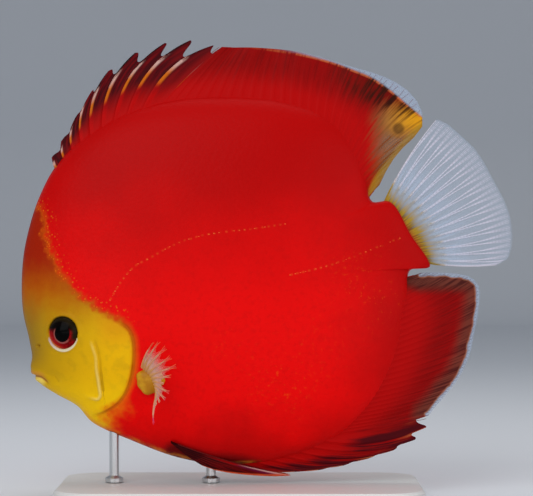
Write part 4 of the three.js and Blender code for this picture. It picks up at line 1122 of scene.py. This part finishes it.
def scale_tree():
    """Small flat scales set on points, lying along the body and varied in size."""
    tree, given = new_tree("Lateral scales", "Scales", [
        ("Points", "Geometry", None), ("Length", "Float", 0.0005), ("Seed", "Int", 7),
        ("Finish", "Material", None)])
    bead = add_node(tree, "GeometryNodeMeshUVSphere", {"Segments": 8, "Rings": 6, "Radius": 1.0})
    flat = add_node(tree, "GeometryNodeTransform", {"Geometry": bead.outputs[0], "Scale": (1.0, 0.35, 0.5)})
    smooth = add_node(tree, "GeometryNodeSetShadeSmooth", {"Geometry": flat.outputs[0]})
    # Inputs 2 and 3 are the lowest and highest value of the float kind
    size = add_node(tree, "FunctionNodeRandomValue", {2: 0.5, 3: 1.0, "Seed": given["Seed"]},
                    data_type="FLOAT")
    scaled = add_node(tree, "ShaderNodeMath", {0: size.outputs[1], 1: given["Length"]}, operation="MULTIPLY")
    placed = add_node(tree, "GeometryNodeInstanceOnPoints", {
        "Points": given["Points"], "Instance": smooth.outputs[0], "Scale": scaled.outputs[0]})
    return end_tree(tree, placed.outputs[0], given["Finish"])


def grown(name, source, tree, inputs):
    """The mesh that a node group makes from a source object, as a plain object."""
    modifier = source.modifiers.new(tree.name, "NODES")
    modifier.node_group = tree
    ids = {socket.name: socket.identifier for socket in tree.interface.items_tree if socket.in_out == "INPUT"}
    for key, value in inputs.items():
        modifier[ids[key]] = value
    bpy.context.view_layer.update()
    evaluated = source.evaluated_get(bpy.context.evaluated_depsgraph_get())
    piece = bpy.data.objects.new(name, bpy.data.meshes.new_from_object(evaluated))
    bpy.context.scene.collection.objects.link(piece)
    source.modifiers.remove(modifier)
    bpy.data.objects.remove(source)
    return piece


def make_rays(name, lines, radius, material, slot):
    """Fin rays grown along lines of points."""
    places, sizes, shares = zip(*(point for line in lines for point in line))
    edges, start = [], 0
    for line in lines:
        edges += [(k, k + 1) for k in range(start, start + len(line) - 1)]
        start += len(line)
    source = make_mesh(name + "_lines", places, [], {"size": sizes, "along": shares}, edges)
    piece = grown(name, source, bpy.data.node_groups["Fin rays"], {
        "Root radius": radius * MM, "Sides": RAY_SIDES, "Finish": material})
    return dress(piece, material, slot)


def make_spined_fin(name, rays, spines, finish, nodes, settings, ripple, paths, marks):
    """A fin's membrane, with its spines and its forked soft rays over it."""
    piece = fin_membrane(name + "_fin", rays, 2 * settings.fin_rows, 7, ripple, **marks)
    dress(piece, finish, "fin", *nodes)
    lines = ray_paths(rays, lambda number, t: fin_point(rays, number, t, ripple), 0.24, **paths)
    make_rays(name + "_spines", lines[:spines], SPINE_RADIUS[name], ray_material(name + "_spine"), "fin")
    make_rays(name + "_rays", lines[spines:], settings.ray_radius, ray_material(name + "_ray"), "fin")


def make_pectoral(name, side, membrane, rays_finish, pad_finish):
    """A breast fin of clear membrane, pale rays and a fleshy pad."""
    root, out = flank_point(*PECTORAL_ROOT, side)
    tips = Curve([(back, side * far, up) for back, far, up in PECTORAL_TIPS])
    last = len(PECTORAL_LENGTHS) - 1

    def at(number, v):
        """A point of the cupped fan, at a ray's number and a share of its length."""
        share = number / last
        rise = (0.5 - share) * PECTORAL_ROOT_HEIGHT
        base = root + np.array([-rise * PECTORAL_ROOT_LEAN, 0, rise]) - 1.2 * out
        tip = root + tips.even(np.array(share))
        return curved(base, (base + tip) / 2 + np.array([-1.2, side * 1.6, 0]), tip, v)

    numbers = np.linspace(0, last, last * 6 + 1)
    v = np.linspace(0.05, 1, 21)
    torn = 1 - 0.3 * np.abs(np.sin(np.pi * numbers)) ** 0.8
    ends = np.interp(numbers, np.arange(last + 1), PECTORAL_LENGTHS) * torn
    middle = np.array([[at(n, t * e) for t in v] for n, e in zip(numbers, ends)])
    half = 0.12 + 0.25 * (1 - v) ** 4 + 0 * numbers[:, None]
    blade = sheet_mesh(name, middle, half, {"ray": numbers[:, None] + 0 * v, "along": v * ends[:, None]})
    dress(blade, membrane, "clear_fin", name)
    lines = []
    for k, length in enumerate(PECTORAL_LENGTHS):
        reach = 0.72 * length
        lines.append([(at(k, t), 1 - 0.7 * t, t) for t in np.linspace(0.03, reach, 18)])
        for way in (-0.2, 0.2):
            line = []
            for t in np.linspace(reach - 0.02, 0.99 * length, 8):
                number = min(max(k + way * (t - reach) / 0.28, 0), last)
                line.append((at(number, t), 0.7 * (1 - 0.8 * t), t))
            lines.append(line)
    make_rays(name + "_rays", lines, PECTORAL_RAY_RADIUS, rays_finish, "clear_fin")
    dress(make_pad(name + "_root", root), pad_finish, "yellow_skin")


def make_pad(name, centre):
    """A lobed, slightly lumpy pad of flesh half sunk in the flank."""
    back, out, up = PECTORAL_PAD
    polar = np.linspace(0, math.pi, PAD_ROWS + 1)[1:-1, None]
    turn = np.linspace(0, 2 * math.pi, PAD_COLUMNS, endpoint=False)
    lobes = 1 + 0.07 * np.sin(3 * turn + 0.6) * np.sin(polar)
    lobes = lobes + 0.04 * np.sin(7 * turn + 1.9) * np.sin(polar) ** 2
    x = back * np.sin(polar) * np.cos(turn) * lobes
    y = out * np.cos(polar) * np.ones_like(turn)
    z = up * np.sin(polar) * np.sin(turn) * lobes
    grid = centre + np.stack([x, y, z], -1)
    vertices = np.vstack([grid.reshape(-1, 3), centre + (0, out, 0), centre - (0, out, 0)])
    return make_mesh(name, vertices, facing_out(ring_faces(grid), vertices, centre))


def pelvic_rays():
    """Rays of a belly fin, folded back along the belly."""
    tips = Curve(PELVIC_TIPS)
    front, rear = (np.array(p, float) for p in PELVIC_ROOT)
    return [(front + (rear - front) * s, tips.even(np.array(s)), PELVIC_BOW * (1 - s), 0)
            for s in np.linspace(0, 1, PELVIC_RAYS)]


def make_pelvic(name, side, rows, blade_finish, rays_finish):
    """A narrow belly fin at one side of the belly."""
    rays = pelvic_rays()

    def at(number, v):
        """A point of the blade, at a ray's number and a share of its length."""
        x, _, z = fin_point(rays, number, v)
        return np.array([x, side * (PELVIC_APART + PELVIC_APART_RISE * (z - PELVIC_APART_AT)), z])

    numbers = np.linspace(0, len(rays) - 1, 31)
    v = np.linspace(0, 1, rows + 1)
    ray, along = numbers[:, None] + 0 * v, v + 0 * numbers[:, None]
    middle = np.array([[at(n, t) for t in v] for n in numbers])
    blade = sheet_mesh(name, middle, 0.14 + 0.6 * (1 - along) ** 5, {"ray": ray, "along": along})
    dress(blade, blade_finish, "fin", name)
    make_rays(name + "_rays", ray_paths(rays, at), PELVIC_RAY_RADIUS, rays_finish, "fin")


class DiscusSettings(bpy.types.PropertyGroup):
    """Sizes and colours of the fish."""

    skin_rings: bpy.props.IntProperty(
        name="Skin rings", description="Rings of points from the middle of a flank to its rim", default=92,
        min=20)
    fin_rows: bpy.props.IntProperty(
        name="Fin rows", description="Rows of points from a fin's root to its margin", default=24, min=6)
    ripple: bpy.props.FloatProperty(
        name="Fin ripple", description="How far a fin's margin waves to each side, in millimetres",
        default=0.5, min=0, max=1.5)
    ray_radius: bpy.props.FloatProperty(
        name="Ray radius", description="Radius of a soft ray at its root, in millimetres", default=0.3,
        min=0.1)
    # Bright and deep red are partly the fish's colour and partly painted light on the lower flank and painted
    # shade on the back
    red_bright: bpy.props.FloatVectorProperty(
        name="Bright red", description="Lower flank", subtype="COLOR", size=3, default=(0.88, 0.001, 0.001))
    red_deep: bpy.props.FloatVectorProperty(
        name="Deep red", description="Back and roots of the fins", subtype="COLOR", size=3,
        default=(0.48, 0.001, 0.001))
    fin_deep: bpy.props.FloatVectorProperty(
        name="Fin red", description="Outer part of the fins", subtype="COLOR", size=3,
        default=(0.3, 0.001, 0.001))
    camera_distance: bpy.props.FloatProperty(
        name="Camera distance", description="From the camera to the middle of the fish", subtype="DISTANCE",
        unit="LENGTH", default=0.7)
    key_power: bpy.props.FloatProperty(
        name="Key light", description="Power of the large front light, in watts", default=3.4, min=0)


class MakeSkin(bpy.types.Operator):
    """Make the skin of the head, trunk and tail stalk"""
    bl_idname = "discus.skin"
    bl_label = "Skin"

    def execute(self, context):
        settings = context.scene.discus
        make_skin(settings, settings.skin_rings)
        return {"FINISHED"}


class MakeEyes(bpy.types.Operator):
    """Make both eyes"""
    bl_idname = "discus.eyes"
    bl_label = "Eyes"

    def execute(self, context):
        material = eye_material()
        make_eye("eye_left", -1, material)
        make_eye("eye_right", 1, material)
        return {"FINISHED"}


class MakeDorsalFin(bpy.types.Operator):
    """Make the dorsal fin with its spines, flaps and soft rays"""
    bl_idname = "discus.dorsal_fin"
    bl_label = "Dorsal fin"

    def execute(self, context):
        settings = context.scene.discus
        rays = fin_rays(BACK_FIN)
        spines = len(BACK_FIN["tips"])
        rays[spines - 1] = (*rays[spines - 1][:3], LAST_BACK_FLAP)
        make_spined_fin("dorsal", rays, spines, dorsal_material(settings),
                        ("dorsal_fin_spines", "dorsal_fin_middle", "dorsal_fin_rear"),
                        settings, settings.ripple,
                        paths={"fork_at": 0.68, "spine_end": 0.74},
                        marks={"lines": {"opaque": BACK_OPAQUE, "hind": BACK_REAR}, "region": BACK_REGION})
        return {"FINISHED"}


class MakeAnalFin(bpy.types.Operator):
    """Make the anal fin with its spines and soft rays"""
    bl_idname = "discus.anal_fin"
    bl_label = "Anal fin"

    def execute(self, context):
        settings = context.scene.discus
        make_spined_fin("anal", fin_rays(ANAL_FIN), len(ANAL_FIN["tips"]), anal_material(settings),
                        ("anal_fin_spines", "anal_fin_rear"), settings, -settings.ripple,
                        paths={"fork_at": 0.66}, marks={"lines": {"inset": ANAL_MARGIN}})
        return {"FINISHED"}


class MakeTailFin(bpy.types.Operator):
    """Make the clear tail fin with its forked rays"""
    bl_idname = "discus.tail_fin"
    bl_label = "Tail fin"

    def execute(self, context):
        settings = context.scene.discus
        rays = tail_rays()
        piece = fin_membrane("tail_fin", rays, settings.fin_rows, 6, settings.ripple, root=1.5)
        dress(piece, tail_material(), "clear_fin", "tail_fin")
        lines = ray_paths(rays, lambda number, t: fin_point(rays, number, t, settings.ripple), 0.3, 0.35,
                          twice=True)
        radius = settings.ray_radius + TAIL_RAY_EXTRA
        make_rays("tail_rays", lines, radius, ray_material("tail_ray"), "clear_fin")
        return {"FINISHED"}


class MakePectoralFins(bpy.types.Operator):
    """Make both breast fins"""
    bl_idname = "discus.pectoral_fins"
    bl_label = "Pectoral fins"

    def execute(self, context):
        finishes = pectoral_material(), ray_material("pectoral_ray"), flesh_pad_material()
        make_pectoral("pectoral_fin_left", -1, *finishes)
        make_pectoral("pectoral_fin_right", 1, *finishes)
        return {"FINISHED"}


class MakePelvicFins(bpy.types.Operator):
    """Make both belly fins"""
    bl_idname = "discus.pelvic_fins"
    bl_label = "Pelvic fins"

    def execute(self, context):
        rows = context.scene.discus.fin_rows
        finishes = pelvic_material(), ray_material("pelvic_ray")
        make_pelvic("pelvic_fin_left", -1, rows, *finishes)
        make_pelvic("pelvic_fin_right", 1, rows, *finishes)
        return {"FINISHED"}


class MakeLateralScales(bpy.types.Operator):
    """Make the small pale scales along the lateral line"""
    bl_idname = "discus.lateral_scales"
    bl_label = "Lateral line"

    def execute(self, context):
        points = []
        for line in LATERAL_LINES:
            curve = Curve(line)
            count = int(curve.travelled[-1] / LATERAL_SPACING)
            kept = np.sin(2.9 * np.arange(count)) + np.sin(1.3 * np.arange(count)) > -0.1
            for x, z in curve.even(np.linspace(0, 1, count)[kept]):
                proud = float(flank(x, z)) + 0.02
                points += [[x, side * proud + float(sweep(x)), z] for side in (-1, 1)]
        material = pore_material()
        piece = grown("lateral_scales", make_mesh("lateral_points", points, []), scale_tree(), {
            "Length": LATERAL_SCALE * MM, "Seed": 7, "Finish": material})
        dress(piece, material, "red_skin")
        return {"FINISHED"}


class FinishStand(bpy.types.Operator):
    """Give the stand's base and rods their finishes"""
    bl_idname = "discus.stand"
    bl_label = "Stand"

    def execute(self, context):
        satin, steel = stand_material(), rod_material()
        for name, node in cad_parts.items():
            if name.startswith("stand_"):
                node.data.materials.clear()
                node.data.materials.append(satin if name == "stand_base" else steel)
        return {"FINISHED"}


def stage_material():
    """Pale paper, a little greyer further back and where it rises."""
    s = Shade("stage_paper")
    tone = s.mix(s.step(s.y, 120, 900), (0.76, 0.78, 0.82), (0.62, 0.65, 0.7))
    tone = s.mix(s.step(s.z, 20, 500), tone, (0.62, 0.65, 0.7))
    tone = s.paint(tone, (0.6, 0.62, 0.66), s.noise(0.004, 2), 0.1)
    return s.set(Base_Color=tone, Roughness=0.85, Specular_IOR_Level=0.1)


def make_floor():
    """Pale paper that rises behind the fish in a round cove."""
    profile = [(STAGE.front, 0)]
    for turn in np.linspace(0, math.pi / 2, 14):
        profile.append((STAGE.wall - STAGE.cove * (1 - math.sin(turn)), STAGE.cove * (1 - math.cos(turn))))
    profile.append((STAGE.wall, STAGE.top))
    vertices = [(x, y, z) for y, z in profile for x in (-STAGE.half_width, STAGE.half_width)]
    faces = [(2 * i, 2 * i + 1, 2 * i + 3, 2 * i + 2) for i in range(len(profile) - 1)]
    floor = make_mesh("stage_floor", vertices, faces)
    floor.data.materials.append(stage_material())


def add_light(name, place, aim, size, power):
    """A soft area light that looks at a point."""
    light = bpy.data.lights.new(name, "AREA")
    light.shape = "RECTANGLE"
    light.size, light.size_y = size
    light.energy = power
    lamp = bpy.data.objects.new(name, light)
    bpy.context.scene.collection.objects.link(lamp)
    lamp.location = place
    way = np.array(aim) - np.array(place)
    lamp.rotation_euler = (math.atan2(math.hypot(way[0], way[1]), -way[2]), 0, math.atan2(-way[0], way[1]))


class SetStage(bpy.types.Operator):
    """Set the pale floor and wall, the soft lights and the camera"""
    bl_idname = "discus.stage"
    bl_label = "Stage"

    def execute(self, context):
        scene = context.scene
        distance = scene.discus.camera_distance
        make_floor()
        world = bpy.data.worlds.new("studio")
        world.use_nodes = True
        background = world.node_tree.nodes["Background"]
        background.inputs["Color"].default_value = (0.93, 0.96, 1, 1)
        background.inputs["Strength"].default_value = 0.4
        scene.world = world
        for name, place, aim, size, share in LIGHTS:
            add_light(name, place, aim, size, scene.discus.key_power * share)
        scene.view_settings.view_transform = "Standard"
        camera = bpy.data.cameras.new("camera")
        camera.sensor_width = 36
        camera.lens = LENS_AT_DISTANCE[0] * distance / LENS_AT_DISTANCE[1]
        camera.clip_start = 0.01
        eye = bpy.data.objects.new("camera", camera)
        scene.collection.objects.link(eye)
        eye.location = (CAMERA_X, -distance, CAMERA_Z)
        eye.rotation_euler = (math.radians(90), 0, 0)
        scene.camera = eye
        return {"FINISHED"}


class DiscusPanel(bpy.types.Panel):
    """Buttons for the pieces of the fish"""
    bl_idname = "VIEW3D_PT_discus"
    bl_label = "Discus fish"
    bl_space_type = "VIEW_3D"
    bl_region_type = "UI"
    bl_category = "Discus"

    def draw(self, context):
        for name in DiscusSettings.__annotations__:
            self.layout.prop(context.scene.discus, name)
        for step in STEPS:
            self.layout.operator(step.bl_idname)


STEPS = (SetStage, MakeSkin, MakeEyes, MakeDorsalFin, MakeAnalFin, MakeTailFin, MakePectoralFins,
         MakePelvicFins, MakeLateralScales, FinishStand)


def register():
    for kind in (DiscusSettings, *STEPS, DiscusPanel):
        bpy.utils.register_class(kind)
    bpy.types.Scene.discus = bpy.props.PointerProperty(type=DiscusSettings)


def unregister():
    del bpy.types.Scene.discus
    for kind in reversed((DiscusSettings, *STEPS, DiscusPanel)):
        bpy.utils.unregister_class(kind)


def main():
    register()
    ray_tree()
    for step in STEPS:
        group, name = step.bl_idname.split(".")
        getattr(getattr(bpy.ops, group), name)()


if __name__ == "__main__":
    main()
